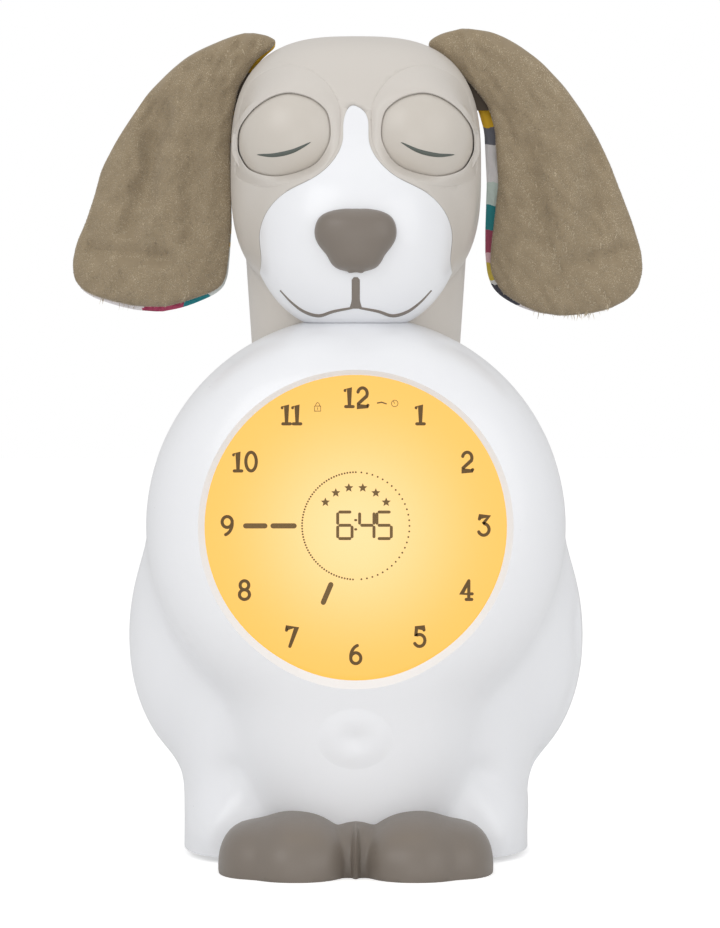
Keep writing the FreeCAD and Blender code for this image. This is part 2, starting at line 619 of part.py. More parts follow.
rear_base_posts = overlap("rear_base_posts", join("rear_base_blanks", *base_posts["rear"]), body_middle)
rear_inside = overlap("rear_inside", join("rear_blanks", *rear_posts, *switch_posts, cup_outside), body_middle)
rear_whole = join("rear_whole", body_hollow, rear_inside, rear_base_posts, collar)
rear_opened = cut("rear_opened", rear_whole, before_split, under_base, neck_hole, head_clear, cup_inside,
                  panel_pocket, door_hole, socket_hole, screw_ways, base_ways, button_ways, sound_holes)
body_rear = cut("body_rear", join("rear_with_lug", rear_opened, door_lug), pin_room)
keep("body_rear_shell", body_rear)

# Base cover, pad and screws
base_slab = box("base_slab", 2 * BIG, 2 * BIG, "base_thickness", (-BIG, -BIG, "base_height"))
base_plate = overlap("base_plate", base_slab, body_inner)
power_posts = [rod(f"power_post_{side + 1}", 2.2, f"{power_low} - ({base_top}) + 1",
                   (side * 6, f"{socket_y} - 12", f"{base_top} - 1")) for side in (-1, 1)]
base_sinks = [rod(f"base_sink_{number}", "screw_head + 0.2", 4, (x, y, "base_height - 3.8"))
              for number, (x, y) in enumerate((s * a, b) for s in (-1, 1) for a, b in BASE_PLACES)]
keep("base_cover", cut("base_cover_solid", join("base_joined", base_plate, *power_posts), base_ways, base_sinks))
keep("base_screws", group("base_screw_group", *base_screws))
keep("shell_screws", group("shell_screw_group", *shell_screws))
pad = rounded_block("pad_blank", 44, 44, 12, (0, 0, 0), size("base_height"))
pad.Placement = FreeCAD.Placement(Vec(0, 0, 0), Rotation(Vec(1, 0, 0), 90))
keep("non_slip_pad", pad)

# Front paws
paws = blown_form((0, -46, 7), paw_lobes(), 18.0, 60, 20)
paw_skin = skin("paw_skin", paws, 0)
below_floor = box("below_floor", 2 * BIG, 2 * BIG, BIG, (-BIG, -BIG, -BIG))
body_clear = skin("body_clear", body, size("seat_gap"))
keep("front_paws", cut("front_paws_solid", paw_skin, below_floor, body_clear))

# Head and neck mouldings
neck_outer = ellipse_wall("neck_outer", 0, neck_foot, size("neck_top"), size("neck_flare"))
neck_inner = ellipse_wall("neck_inner", -size("head_wall"), neck_foot - 1, size("neck_top"), size("neck_flare"))
head_solid = join("head_solid", head_outer, neck_outer)
head_hollow = cut("head_hollow", head_solid, head_inner, neck_inner)
behind_face = box("behind_face", 2 * BIG, BIG, 3 * BIG, (-BIG, "head_split", -BIG))
before_face = box("before_face", 2 * BIG, BIG, 3 * BIG, (-BIG, f"head_split - {BIG}", -BIG))
HEAD_POSTS = [(0, 213.2), (-27, 174), (27, 174)]
head_fronts = []
head_rears = []
head_ways = []
head_screws = []
for number, (x, z) in enumerate(HEAD_POSTS):
    head_fronts.append(rod(f"head_front_{number}", "post_radius", 12, (x, "head_split - 12", z), "y"))
    head_rears.append(rod(f"head_rear_{number}", "screw_head + 1.6", 40, (x, "head_split", z), "y"))
    if x:
        rib = box(f"head_rib_{number}", 10, 12, 2, (x - (10 if x < 0 else 0), "head_split - 12", z - 1))
    else:
        rib = box(f"head_rib_{number}", 2, 12, 8, (-1, "head_split - 12", z))
    head_fronts.append(rib)
    head_ways.append(rod(f"head_way_{number}", "screw_radius + screw_gap", 18, (x, "head_split - 10", z), "y"))
    head_ways.append(rod(f"sink_way_{number}", "screw_head + 0.3", 40, (x, "head_split + 5", z), "y"))
    head_screws.append(join(f"head_screw_{number}",
                            rod(f"head_shank_{number}", "screw_radius", "screw_length",
                                (x, "head_split + 5 - screw_length", z), "y"),
                            rod(f"head_top_{number}", "screw_head", "screw_head_rise",
                                (x, "head_split + 5", z), "y")))
keep("head_screws", group("head_screw_group", *head_screws))

# Eye sockets, muzzle panel and ear slots in the head
eye_centre = {1: ("eye_offset", "-eye_forward", "eye_height"), -1: ("-eye_offset", "-eye_forward", "eye_height")}
sockets = [ball(f"socket_{side + 1}", "eye_radius + socket_gap", eye_centre[side]) for side in (-1, 1)]
MUZZLE_HALF = [(3.0, 197.0), (3.4, 191.0), (6.2, 185.0), (11.0, 180.8), (18.0, 177.3), (23.2, 172.4),
               (25.4, 165.8), (25.0, 159.5), (26.5, 153.0), (26.0, 144.0), (14.0, 137.0)]


def outline_prism(name, grow):
    """The muzzle panel's outline run backwards through the face."""
    half = []
    for x, z in MUZZLE_HALF:
        away = math.hypot(x, z - size("muzzle_height"))
        half.append((x + grow * x / away, z + grow * (z - size("muzzle_height")) / away))
    points = [Vec(0, -60, 200.0 + grow)] + [Vec(x, -60, z) for x, z in half]
    points += [Vec(0, -60, 136.5 - grow)] + [Vec(-x, -60, z) for x, z in reversed(half)]
    curve = Part.BSplineCurve()
    curve.interpolate(points, True)
    return made(name, Part.Face(Part.Wire([curve.toShape()])).extrude(Vec(0, 60 - size("muzzle_forward"), 0)))


muzzle_room = cut("muzzle_room", outline_prism("muzzle_prism", size("seat_gap")), head_pocket)
muzzle_cut = cut("muzzle_cut", outline_prism("muzzle_slab", 0), head_pocket)
keep("muzzle_panel", overlap("muzzle_panel_solid", muzzle_cut, head_raised))
nose_lobes = [lobe((0, -43.5, 166.6), (10.6, 6.8, 6.0), (2.7, 2.3)),
              lobe((0, -43.5, 162.6), (7.6, 6.4, 6.6), (2.4, 2.3))]
nose_form = skin("nose_form", blown_form((0, -45.5, 165), nose_lobes, 9.0, 24, 12), 0)
keep("nose", cut("nose_solid", nose_form, head_clear))

tab_height = 206.0
tab_reach = 36.0
ear_tabs = []
ear_slots = []
for side in (-1, 1):
    plate = box(f"tab_plate_{side + 1}", 11.0, "tab_thickness", "tab_width",
                (25.0 if side > 0 else -tab_reach, "-tab_thickness / 2", f"{tab_height} - tab_width / 2"))
    stop = box(f"tab_stop_{side + 1}", 1.4, "tab_thickness + 3", "tab_width - 5",
               (25.0 if side > 0 else -26.4, "-tab_thickness / 2 - 1.5", f"{tab_height} - tab_width / 2 + 1"))
    ear_tabs.append(join(f"tab_{side + 1}", plate, stop))
    ear_slots.append(box(f"slot_{side + 1}", 14.4, "tab_thickness + 2 * seat_gap", "tab_width + 2 * seat_gap",
                         (24.9 if side > 0 else -39.3, "-tab_thickness / 2 - seat_gap",
                          f"{tab_height} - tab_width / 2 - seat_gap")))
keep("ear_tabs", group("tab_group", *ear_tabs))

BRACKET_POSTS = [(-9, 178.5), (9, 178.5)]
bracket_back = 18.6
bracket_posts = [rod(f"bracket_post_{n}", "post_radius", 30, (x, bracket_back, z), "y")
                 for n, (x, z) in enumerate(BRACKET_POSTS)]
bracket_ways = [rod(f"bracket_way_{n}", "screw_radius + screw_gap", 12, (x, bracket_back - 4, z), "y")
                for n, (x, z) in enumerate(BRACKET_POSTS)]
head_front_inside = overlap("head_front_inside", join("head_front_blanks", *head_fronts), head_middle)
head_rear_inside = overlap("head_rear_inside", join("head_rear_blanks", *head_rears, *bracket_posts), head_middle)
head_front_whole = join("head_front_whole", head_hollow, head_front_inside)
head_rear_whole = join("head_rear_whole", head_hollow, head_rear_inside)
keep("head_front_shell", cut("head_front", head_front_whole, behind_face, ear_slots, head_ways[::2],
                             *sockets, muzzle_room))
keep("head_rear_shell", cut("head_rear", head_rear_whole, before_face, ear_slots, head_ways, bracket_ways))

ring_outer = ellipse_wall("ring_outer", -size("head_wall") - size("seat_gap"), neck_foot - 5, neck_foot + 6, 0)
ring_inner = ellipse_wall("ring_inner", -size("head_wall") - 2.2, neck_foot - 6, neck_foot + 7, 0)
ring_flange = ellipse_wall("ring_flange", 4.5, neck_foot - 4.6, neck_foot - 2.1, 0)
keep("neck_ring", cut("neck_ring_solid", join("ring_joined", ring_outer, ring_flange), ring_inner))


# Eyes: balls, lids and pupils on one shaft


def half_space(name, centre, tilt):
    """The half of space in front of an upright plane that leans back by a tilt about X."""
    block = Part.makeBox(100, 60, 100, Vec(-50, -60, -50))
    block.rotate(Vec(), Vec(1, 0, 0), -tilt)
    block.translate(centre)
    return made(name, block)


eye_place = Vec(size("eye_offset"), -size("eye_forward"), size("eye_height"))
lid_half = half_space("lid_half", eye_place, size("lid_tilt"))
inner_side = box("inner_side", BIG, BIG, BIG, (f"eye_flat - {BIG}", -60, 140))
eye_ball_whole = ball("eye_whole", "eye_radius", eye_centre[1])
eye_core = ball("eye_core", "eye_radius - lid_thickness", eye_centre[1])
lid_room = ball("lid_room", "eye_radius - lid_thickness + 0.02", eye_centre[1])
eye_bore = rod("eye_bore", "shaft_radius", 60, (0, "-eye_forward", "eye_height"), "x")
look = math.radians(size("pupil_angle"))
pupil_way = made("pupil_way", Part.makeCylinder(size("pupil_radius"), 30, eye_place,
                                                Vec(0, -math.cos(look), -math.sin(look))))
back_half = cut("back_half", eye_ball_whole, lid_half)
pupil_core = ball("pupil_core", "eye_radius - 1.0", eye_centre[1])
pupil_solid = overlap("pupil_disc", cut("pupil_shell", eye_ball_whole, pupil_core), pupil_way)
right_ball = cut("right_ball", join("ball_joined", back_half, eye_core), inner_side, eye_bore, pupil_solid)
right_lid = cut("right_lid_solid", overlap("lid_shell", cut("lid_blank", eye_ball_whole, lid_room), lid_half),
                inner_side)
keep("right_eyeball", right_ball)
keep("right_eyelid", right_lid)
keep("right_pupil", pupil_solid)
keep("left_eyeball", mirrored("left_ball", right_ball))
keep("left_eyelid", mirrored("left_lid_solid", right_lid))
keep("left_pupil", mirrored("left_pupil_solid", pupil_solid))
keep("eye_shaft", rod("eye_shaft_solid", "shaft_radius", "2 * shaft_reach", ("-shaft_reach", "-eye_forward",
                                                                           "eye_height"), "x"))


def involute_wheel(name, teeth, depth, phase, bore):
    """A spur wheel about the X direction whose teeth have involute flanks."""
    module = size("gear_module")
    pressure = math.radians(20)
    pitch = module * teeth / 2
    base = pitch * math.cos(pressure)
    tip = pitch + 0.8 * module
    root = pitch - 1.15 * module
    start = max(base, root)
    half_pitch = math.pi / (2 * teeth) - size("backlash") / (2 * pitch)

    def involute(angle):
        return math.tan(angle) - angle

    def half_angle(radius):
        return half_pitch + involute(pressure) - involute(math.acos(min(1, base / radius)))

    def at(radius, angle):
        return Vec(-size("gear_width") / 2, depth + radius * math.cos(angle),
                   size("eye_height") + radius * math.sin(angle))

    flank = [start + (tip - start) * step / 3 for step in range(4)]
    edges = []
    for tooth in range(teeth):
        middle = phase + 2 * math.pi * tooth / teeth
        rising = [at(radius, middle - half_angle(radius)) for radius in flank]
        falling = [at(radius, middle + half_angle(radius)) for radius in reversed(flank)]
        foot, heel = middle - half_angle(start), middle + half_angle(start)
        if root < start:
            edges.append(Part.LineSegment(at(root, foot), rising[0]).toShape())
        for side in (rising, falling):
            curve = Part.BSplineCurve()
            curve.interpolate(side)
            edges.append(curve.toShape())
            if side is rising:
                edges.append(Part.Arc(rising[-1], at(tip, middle), falling[0]).toShape())
        if root < start:
            edges.append(Part.LineSegment(falling[-1], at(root, heel)).toShape())
        following = foot + 2 * math.pi / teeth
        edges.append(Part.Arc(at(min(root, start), heel), at(min(root, start), (heel + following) / 2),
                              at(min(root, start), following)).toShape())
    face = Part.Face(Part.Wire(edges))
    wheel = face.extrude(Vec(size("gear_width"), 0, 0))
    hole = Part.makeCylinder(bore, size("gear_width") + 2, at(0, 0) - Vec(1, 0, 0), Vec(1, 0, 0))
    return made(name, wheel.cut(hole))


teeth = {word: int(size(word + "_teeth")) for word in ("eye", "idler", "pinion")}
first_gap = size("gear_module") * (teeth["eye"] + teeth["idler"]) / 2
second_gap = size("gear_module") * (teeth["idler"] + teeth["pinion"]) / 2
idler_depth = first_gap - size("eye_forward")
pinion_depth = idler_depth + second_gap
idler_phase = math.pi + math.pi / teeth["idler"]
pinion_phase = math.pi if (idler_phase * teeth["idler"] / (2 * math.pi)) % 1 > 0.25 else 0
keep("eye_gear", involute_wheel("eye_wheel", teeth["eye"], -size("eye_forward"), 0, size("shaft_radius")))
keep("idler_gear", involute_wheel("idler_wheel", teeth["idler"], idler_depth, idler_phase,
                                  size("pin_radius") + size("running_gap")))
keep("motor_pinion", involute_wheel("pinion_wheel", teeth["pinion"], pinion_depth, pinion_phase,
                                    size("pin_radius")))
cheek_outer = "cheek_inner + cheek_thickness"
keep("idler_pin", rod("idler_pin_solid", "pin_radius", f"2 * ({cheek_outer})",
                      (f"-({cheek_outer})", idler_depth, "eye_height"), "x"))
keep("motor_shaft", rod("motor_shaft_solid", "pin_radius", f"gear_width / 2 + {cheek_outer} + 3",
                        ("-gear_width / 2", pinion_depth, "eye_height"), "x"))
motor_can = rod("motor_can", "motor_radius", "motor_length", (cheek_outer, pinion_depth, "eye_height"), "x")
motor_bore = rod("motor_bore", "pin_radius + running_gap", 4, (cheek_outer, pinion_depth, "eye_height"), "x")
keep("eye_motor", cut("eye_motor_solid", motor_can, motor_bore))

# Bracket with its bushes
cheek_low = 180.0
bracket_parts = []
for side in (-1, 1):
    near = "cheek_inner" if side > 0 else f"-({cheek_outer})"
    bracket_parts.append(box(f"cheek_{side + 1}", "cheek_thickness", f"eye_forward + 4.6 + {bracket_back}",
                             f"eye_height + 5.5 - {cheek_low}", (near, "-eye_forward - 4.6", cheek_low)))
bracket_parts.append(box("bracket_floor", f"2 * ({cheek_outer})", f"eye_forward + 4.6 + {bracket_back}", 1.6,
                         (f"-({cheek_outer})", "-eye_forward - 4.6", cheek_low)))
bracket_parts.append(centred("bracket_flange", 25, 1.6, 15, (0, bracket_back - 1.6, 174.0)))
bush_seats = rod("bush_seats", "bush_radius", 20, (-10, "-eye_forward", "eye_height"), "x")
pin_seats = rod("pin_seats", "pin_radius", 20, (-10, idler_depth, "eye_height"), "x")
motor_way = rod("motor_way", "pin_radius + 0.3", 20, (-10, pinion_depth, "eye_height"), "x")
keep("eye_bracket", cut("eye_bracket_solid", join("bracket_joined", *bracket_parts), bush_seats, pin_seats,
                        motor_way, bracket_ways))
bushes = []
bush_bore = rod("bush_bore", "shaft_radius + running_gap", 20, (-10, "-eye_forward", "eye_height"), "x")
for side in (-1, 1):
    sleeve = rod(f"sleeve_{side + 1}", "bush_radius", "cheek_thickness",
                 ("cheek_inner" if side > 0 else f"-({cheek_outer})", "-eye_forward", "eye_height"), "x")
    rim = rod(f"bush_rim_{side + 1}", "bush_radius + 0.8", "cheek_inner - gear_width / 2 - 0.15",
              ("gear_width / 2 + 0.15" if side > 0 else "-cheek_inner", "-eye_forward", "eye_height"), "x")
    bushes.append(cut(f"bush_{side + 1}", join(f"bush_blank_{side + 1}", sleeve, rim), bush_bore))
keep("eye_bushes", group("bush_group", *bushes))
bracket_screws = [join(f"bracket_screw_{n}",
                       rod(f"bracket_shank_{n}", "screw_radius", 8, (x, bracket_back - 1.6, z), "y"),
                       rod(f"bracket_head_{n}", "screw_head", "screw_head_rise",
                           (x, f"{bracket_back - 1.6} - screw_head_rise", z), "y"))
                  for n, (x, z) in enumerate(BRACKET_POSTS)]
keep("bracket_screws", group("bracket_screw_group", *bracket_screws))

# Plush ears: level slices from the root down to the tip
EAR_SLICES = [
    # height, inner edge, outer edge, share of the thickness
    (221.6, 22.0, 31.0, 0.45), (217.5, 16.0, 41.0, 0.8), (210.5, 22.0, 51.0, 1.0), (199.0, 29.0, 61.2, 1.0),
    (185.0, 34.6, 69.0, 1.0), (170.0, 34.4, 74.0, 1.0), (160.0, 34.8, 77.2, 1.0), (152.0, 38.0, 74.5, 0.85),
    (146.8, 49.0, 64.0, 0.4),
]


def ear_slice(height, inner, outer, share):
    thick = size("ear_thickness") * share / 2
    edge = thick * 0.45
    sweep = 3.0
    near, far = Vec(inner, 0, height), Vec(outer, sweep, height)
    middle = (near + far) / 2
    front, back = Vec(0, -1, 0), Vec(0, 1, 0)
    edges = [Part.Arc(near + front * edge, middle + front * thick, far + front * edge).toShape(),
             Part.LineSegment(far + front * edge, far + back * edge).toShape(),
             Part.Arc(far + back * edge, middle + back * thick, near + back * edge).toShape(),
             Part.LineSegment(near + back * edge, near + front * edge).toShape()]
    return Part.Wire(edges)


ear_blank = made("ear_blank", Part.makeLoft([ear_slice(*line) for line in EAR_SLICES], True, False))
right_slot = box("right_slot", 20, "tab_thickness + 2 * seat_gap", "tab_width + 2 * seat_gap",
                 (16.2, "-tab_thickness / 2 - seat_gap", f"{tab_height} - tab_width / 2 - seat_gap"))
right_ear = cut("right_ear_solid", ear_blank, head_clear, right_slot)
keep("right_ear", right_ear)
keep("left_ear", mirrored("left_ear_solid", right_ear))

doc.recompute()
os.makedirs("parts", exist_ok=True)
for thing in doc.Objects:
    wrong = [word for word in thing.State if word in ("Invalid", "Error")]
    if wrong:
        raise RuntimeError(f"{thing.Name} failed: {wrong}")
for piece in finished:
    if piece.Shape.isNull() or not piece.Shape.isValid():
        raise RuntimeError(f"{piece.Label} is not a sound solid")
    print(piece.Label, len(piece.Shape.Solids), round(piece.Shape.Volume), flush=True)
    piece.Shape.exportStep(f"parts/{piece.Label}.step")
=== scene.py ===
import bpy
import bisect
import bmesh
import math
import numpy as np
import random
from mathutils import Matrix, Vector, noise

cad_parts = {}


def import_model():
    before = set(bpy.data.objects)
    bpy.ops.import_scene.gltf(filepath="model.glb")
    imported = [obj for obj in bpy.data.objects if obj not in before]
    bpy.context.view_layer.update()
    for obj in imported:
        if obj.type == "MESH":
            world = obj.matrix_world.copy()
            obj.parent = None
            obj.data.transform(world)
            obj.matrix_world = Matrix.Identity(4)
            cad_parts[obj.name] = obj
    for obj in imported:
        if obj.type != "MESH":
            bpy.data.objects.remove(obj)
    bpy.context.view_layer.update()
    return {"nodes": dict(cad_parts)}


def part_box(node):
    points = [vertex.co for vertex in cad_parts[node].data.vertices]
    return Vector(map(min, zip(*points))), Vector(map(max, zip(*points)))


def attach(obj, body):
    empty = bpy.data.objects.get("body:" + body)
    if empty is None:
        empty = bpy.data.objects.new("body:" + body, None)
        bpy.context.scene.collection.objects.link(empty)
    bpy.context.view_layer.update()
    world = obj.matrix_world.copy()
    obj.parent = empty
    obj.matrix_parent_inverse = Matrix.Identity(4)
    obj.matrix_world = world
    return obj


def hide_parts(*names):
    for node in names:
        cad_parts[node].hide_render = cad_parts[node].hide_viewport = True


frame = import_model()
MM = 0.001

# The dial's window in the frame places all that is drawn on it, in millimetres
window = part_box("dial_window")
DIAL_FACE = window[0][1] / MM
DIAL_CENTRE = ((window[0][0] + window[1][0]) / 2 / MM, (window[0][2] + window[1][2]) / 2 / MM)

# Materials

GRAIN_DETAIL, GRAIN_HEIGHT = 4.0, 0.0003
CLOUD_SCALE, CLOUD_DETAIL = 14.0, 2.0
GLOSS_SPREAD = 0.05
GLOW_RADIUS, GLOW_CENTRE = 0.0395, 0.089
UNLIT_AMBER = (0.05, 0.03, 0.01, 1)
PILE_SCALE, PILE_DETAIL = 230.0, 3.0
HAIR_SHARE, CLOUD_SHARE = 0.55, 0.65
KNIT_WOBBLE, WOBBLE_SCALE, WOBBLE_DETAIL = 0.0036, 420.0, 1.0


def linear(code):
    """A colour written as six hex digits, in linear light."""
    parts = [int(code[k:k + 2], 16) / 255 for k in (0, 2, 4)]
    return tuple(p / 12.92 if p <= 0.04045 else ((p + 0.055) / 1.055) ** 2.4 for p in parts)


def blank(name):
    """A new material, with its nodes, links and main shader."""
    made = bpy.data.materials.new(name)
    made.use_nodes = True
    nodes = made.node_tree.nodes
    return made, nodes, made.node_tree.links, nodes["Principled BSDF"]


def noise_node(nodes, scale, detail):
    made = nodes.new("ShaderNodeTexNoise")
    made.inputs["Scale"].default_value = scale
    made.inputs["Detail"].default_value = detail
    return made


def mix_node(nodes, first, second):
    """A mix of two colours written as hex digits."""
    made = nodes.new("ShaderNodeMix")
    made.data_type = "RGBA"
    made.inputs["A"].default_value = (*linear(first), 1)
    made.inputs["B"].default_value = (*linear(second), 1)
    return made


def math_node(nodes, operation, factor):
    made = nodes.new("ShaderNodeMath")
    made.operation = operation
    made.inputs[1].default_value = factor
    return made


def material(name, base, second=None, rough=0.4, scale=900.0, bump=0.02, metal=0.0, coat=0.0):
    """A moulded finish: two near colours mixed by noise, with a fine grain in height and gloss."""
    made, nodes, links, shader = blank(name)
    place = nodes.new("ShaderNodeTexCoord")
    grain = noise_node(nodes, scale, GRAIN_DETAIL)
    cloud = noise_node(nodes, CLOUD_SCALE, CLOUD_DETAIL)
    tint = mix_node(nodes, base, second or base)
    gloss = nodes.new("ShaderNodeMapRange")
    gloss.inputs["To Min"].default_value = rough - GLOSS_SPREAD
    gloss.inputs["To Max"].default_value = rough + GLOSS_SPREAD
    height = nodes.new("ShaderNodeBump")
    height.inputs["Strength"].default_value = bump
    height.inputs["Distance"].default_value = GRAIN_HEIGHT
    links.new(place.outputs["Object"], grain.inputs["Vector"])
    links.new(place.outputs["Object"], cloud.inputs["Vector"])
    links.new(cloud.outputs["Fac"], tint.inputs["Factor"])
    links.new(tint.outputs["Result"], shader.inputs["Base Color"])
    links.new(grain.outputs["Fac"], gloss.inputs["Value"])
    links.new(gloss.outputs["Result"], shader.inputs["Roughness"])
    links.new(grain.outputs["Fac"], height.inputs["Height"])
    links.new(height.outputs["Normal"], shader.inputs["Normal"])
    shader.inputs["Metallic"].default_value = metal
    shader.inputs["Coat Weight"].default_value = coat
    return made


def glowing(name, middle, rim, radius, centre_z, strength):
    """A lit face whose colour deepens from its middle to its rim."""
    made = material(name, middle, rim, rough=0.25, bump=0.01)
    nodes, links = made.node_tree.nodes, made.node_tree.links
    shader = nodes["Principled BSDF"]
    place = nodes.new("ShaderNodeTexCoord")
    shift = nodes.new("ShaderNodeMapping")
    shift.inputs["Location"].default_value = (0, 0, -centre_z)
    flat = nodes.new("ShaderNodeVectorMath")
    flat.operation = "MULTIPLY"
    flat.inputs[1].default_value = (1, 0, 1)
    length = nodes.new("ShaderNodeVectorMath")
    length.operation = "LENGTH"
    span = nodes.new("ShaderNodeMapRange")
    span.inputs["From Max"].default_value = radius
    span.interpolation_type = "SMOOTHSTEP"
    mix = mix_node(nodes, middle, rim)
    links.new(place.outputs["Object"], shift.inputs["Vector"])
    links.new(shift.outputs["Vector"], flat.inputs[0])
    links.new(flat.outputs["Vector"], length.inputs[0])
    links.new(length.outputs["Value"], span.inputs["Value"])
    links.new(span.outputs["Result"], mix.inputs["Factor"])
    links.new(mix.outputs["Result"], shader.inputs["Emission Color"])
    shader.inputs["Emission Strength"].default_value = strength
    for link in list(shader.inputs["Base Color"].links):
        links.remove(link)
    shader.inputs["Base Color"].default_value = UNLIT_AMBER
    return made


def fibre(name, dark, light, rough=0.95, sheen=0.35, gloss=0.15):
    """A short pile whose hairs each take their own shade."""
    made, nodes, links, shader = blank(name)
    hair = nodes.new("ShaderNodeNewGeometry")
    place = nodes.new("ShaderNodeTexCoord")
    cloud = noise_node(nodes, PILE_SCALE, PILE_DETAIL)
    share = math_node(nodes, "MULTIPLY_ADD", HAIR_SHARE)
    patch = math_node(nodes, "MULTIPLY", CLOUD_SHARE)
    tint = mix_node(nodes, dark, light)
    links.new(place.outputs["Object"], cloud.inputs["Vector"])
    links.new(cloud.outputs["Fac"], patch.inputs[0])
    links.new(hair.outputs["Random Per Island"], share.inputs[0])
    links.new(patch.outputs["Value"], share.inputs[2])
    links.new(share.outputs["Value"], tint.inputs["Factor"])
    links.new(tint.outputs["Result"], shader.inputs["Base Color"])
    shader.inputs["Roughness"].default_value = rough
    shader.inputs["Sheen Weight"].default_value = sheen
    shader.inputs["Specular IOR Level"].default_value = gloss
    return made


def knitted(name, axis, stops):
    """Knitted stripes with slightly wavy edges: each colour begins at its place along one axis."""
    made = material(name, "e6e4e6", rough=0.9, bump=0.3, scale=1500.0)
    nodes, links = made.node_tree.nodes, made.node_tree.links
    shader = nodes["Principled BSDF"]
    place = nodes.new("ShaderNodeTexCoord")
    parts = nodes.new("ShaderNodeSeparateXYZ")
    wobble = noise_node(nodes, WOBBLE_SCALE, WOBBLE_DETAIL)
    swing = math_node(nodes, "MULTIPLY_ADD", KNIT_WOBBLE)
    low, high = stops[0][0] * MM, stops[-1][0] * MM
    span = nodes.new("ShaderNodeMapRange")
    span.inputs["From Min"].default_value = low + KNIT_WOBBLE / 2
    span.inputs["From Max"].default_value = high + KNIT_WOBBLE / 2
    ramp = nodes.new("ShaderNodeValToRGB")
    ramp.color_ramp.interpolation = "CONSTANT"
    marks = ramp.color_ramp.elements
    marks[0].color = (*linear(stops[0][1]), 1)
    marks.remove(marks[1])
    for at, code in stops[1:]:
        mark = marks.new((at * MM - low) / (high - low))
        mark.color = (*linear(code), 1)
    links.new(place.outputs["Object"], parts.inputs["Vector"])
    links.new(place.outputs["Object"], wobble.inputs["Vector"])
    links.new(wobble.outputs["Fac"], swing.inputs[0])
    links.new(parts.outputs[axis], swing.inputs[2])
    links.new(swing.outputs["Value"], span.inputs["Value"])
    links.new(span.outputs["Result"], ramp.inputs["Fac"])
    links.new(ramp.outputs["Color"], shader.inputs["Base Color"])
    return made


# Stripes of the knitted ear backs: where each colour begins, as Z on the right ear and as X on the left one
RIGHT_KNIT = [(144.0, "dcd6d8"), (148.4, "43434c"), (153.7, "dcdcda"), (154.8, "c9b34a"), (159.5, "e3bfc6"),
              (162.2, "a34a63"), (168.8, "2e8a90"), (175.0, "c9d8d2"), (181.0, "e4e2e4"), (191.7, "6d6f78"),
              (196.6, "e2b52c"), (203.6, "f0cfd0"), (206.2, "9c3b5c"), (210.2, "e6e6e6"), (211.6, "2e8a90"),
              (213.2, "e6e4e6"), (226.0, "e6e4e6")]
LEFT_KNIT = [(-82.0, "e4dfe0"), (-58.3, "a8405f"), (-47.2, "1f7f88"), (-40.3, "d8dedc"), (-34.0, "e2b52c"),
             (-20.0, "e2b52c")]

LOOKS = {
    "white": material("white_moulding", "f2f3f6", "eff0f3", rough=0.3, bump=0.015, coat=0.15),
    "beige": material("beige_moulding", "d3cdc6", "cfc9c1", rough=0.42, bump=0.03),
    "lid": material("lid_moulding", "cfc8bf", "cac3b9", rough=0.34, bump=0.03),
    # The ear tabs are painted dark brown as painted shadow: the shaded gap between the head and each ear's
    # lining
    "tab": material("painted_shadow_tab", "4b4136", "43392f", rough=0.8, bump=0.1),
    "taupe": material("taupe_moulding", "7f766d", "7a7168", rough=0.42, bump=0.04),
    "amber": glowing("amber_dial", "ffe09c", "ffc557", GLOW_RADIUS, GLOW_CENTRE, 1.0),
    "inner": material("inner_moulding", "d9dad7", "d2d3d0", rough=0.5, bump=0.05),
    "board": material("green_board", "1d5233", "22603a", rough=0.35, bump=0.03),
    "black": material("black_part", "17181a", "1d1e20", rough=0.5, bump=0.05),
    "lamp": material("lamp_lens", "fff2c4", "fdeebb", rough=0.2, bump=0.01),
    "steel": material("plated_steel", "b9bbbf", "aeb0b4", rough=0.28, bump=0.03, metal=1.0),
    "brass": material("turned_brass", "c9a555", "bd984a", rough=0.3, bump=0.03, metal=1.0),
    "rubber": material("pad_rubber", "2c2c2d", "333334", rough=0.8, bump=0.2),
    "cell": material("cell_wrap", "4b5259", "555c63", rough=0.35, bump=0.02),
    "eye": material("eye_white", "f6f5f2", "f1f0ec", rough=0.15, bump=0.005, coat=0.4),
    "pupil": material("pupil_gloss", "1d1814", "241d18", rough=0.1, bump=0.005, coat=0.6),
    "print": material("dial_ink", "5e430e", "664a12", rough=0.5, bump=0.02),
    "segments": material("display_ink", "75592a", "6d5225", rough=0.5, bump=0.02),
    "lash": material("lash_ink", "5a605a", "535a54", rough=0.5, bump=0.02),
    "mouth": material("mouth_line", "857c73", "7d746b", rough=0.45, bump=0.03),
    "plush": fibre("plush_cloth", "7d6e58", "9d8d74"),
    "pile": fibre("plush_pile", "75674f", "dccdb2"),
    "right_knit": knitted("right_knit", "Z", RIGHT_KNIT),
    "left_knit": knitted("left_knit", "X", LEFT_KNIT),
}
NODE_LOOKS = {
    "white": ["body_front_shell", "body_rear_shell", "muzzle_panel", "base_cover"],
    "beige": ["head_front_shell", "head_rear_shell", "neck_ring", "control_panel", "battery_door"],
    "tab": ["ear_tabs"],
    "lid": ["right_eyelid", "left_eyelid"],
    "taupe": ["front_paws", "nose", "set_button", "alarm_button", "lamp_button", "down_button",
              "sound_button", "up_button"],
    "amber": ["dial_window"],
    "lamp": ["display_glass", "light_guide", "backlight_leds"],
    "inner": ["dial_frame", "battery_box", "eye_bracket", "tact_switches", "board_spacers", "idler_gear",
              "eye_gear", "motor_pinion"],
    "board": ["led_board", "main_board", "switch_board", "power_board"],
    "black": ["board_chips", "speaker"],
    "steel": ["frame_screws", "head_screws", "base_screws", "shell_screws", "bracket_screws",
              "battery_door_screw", "eye_shaft", "idler_pin", "motor_shaft", "battery_contacts",
              "power_socket", "eye_motor", "door_pin"],
    "brass": ["eye_bushes"],
    "rubber": ["non_slip_pad"],
    "cell": ["battery_cells"],
    "eye": ["right_eyeball", "left_eyeball"],
    "pupil": ["right_pupil", "left_pupil"],
}
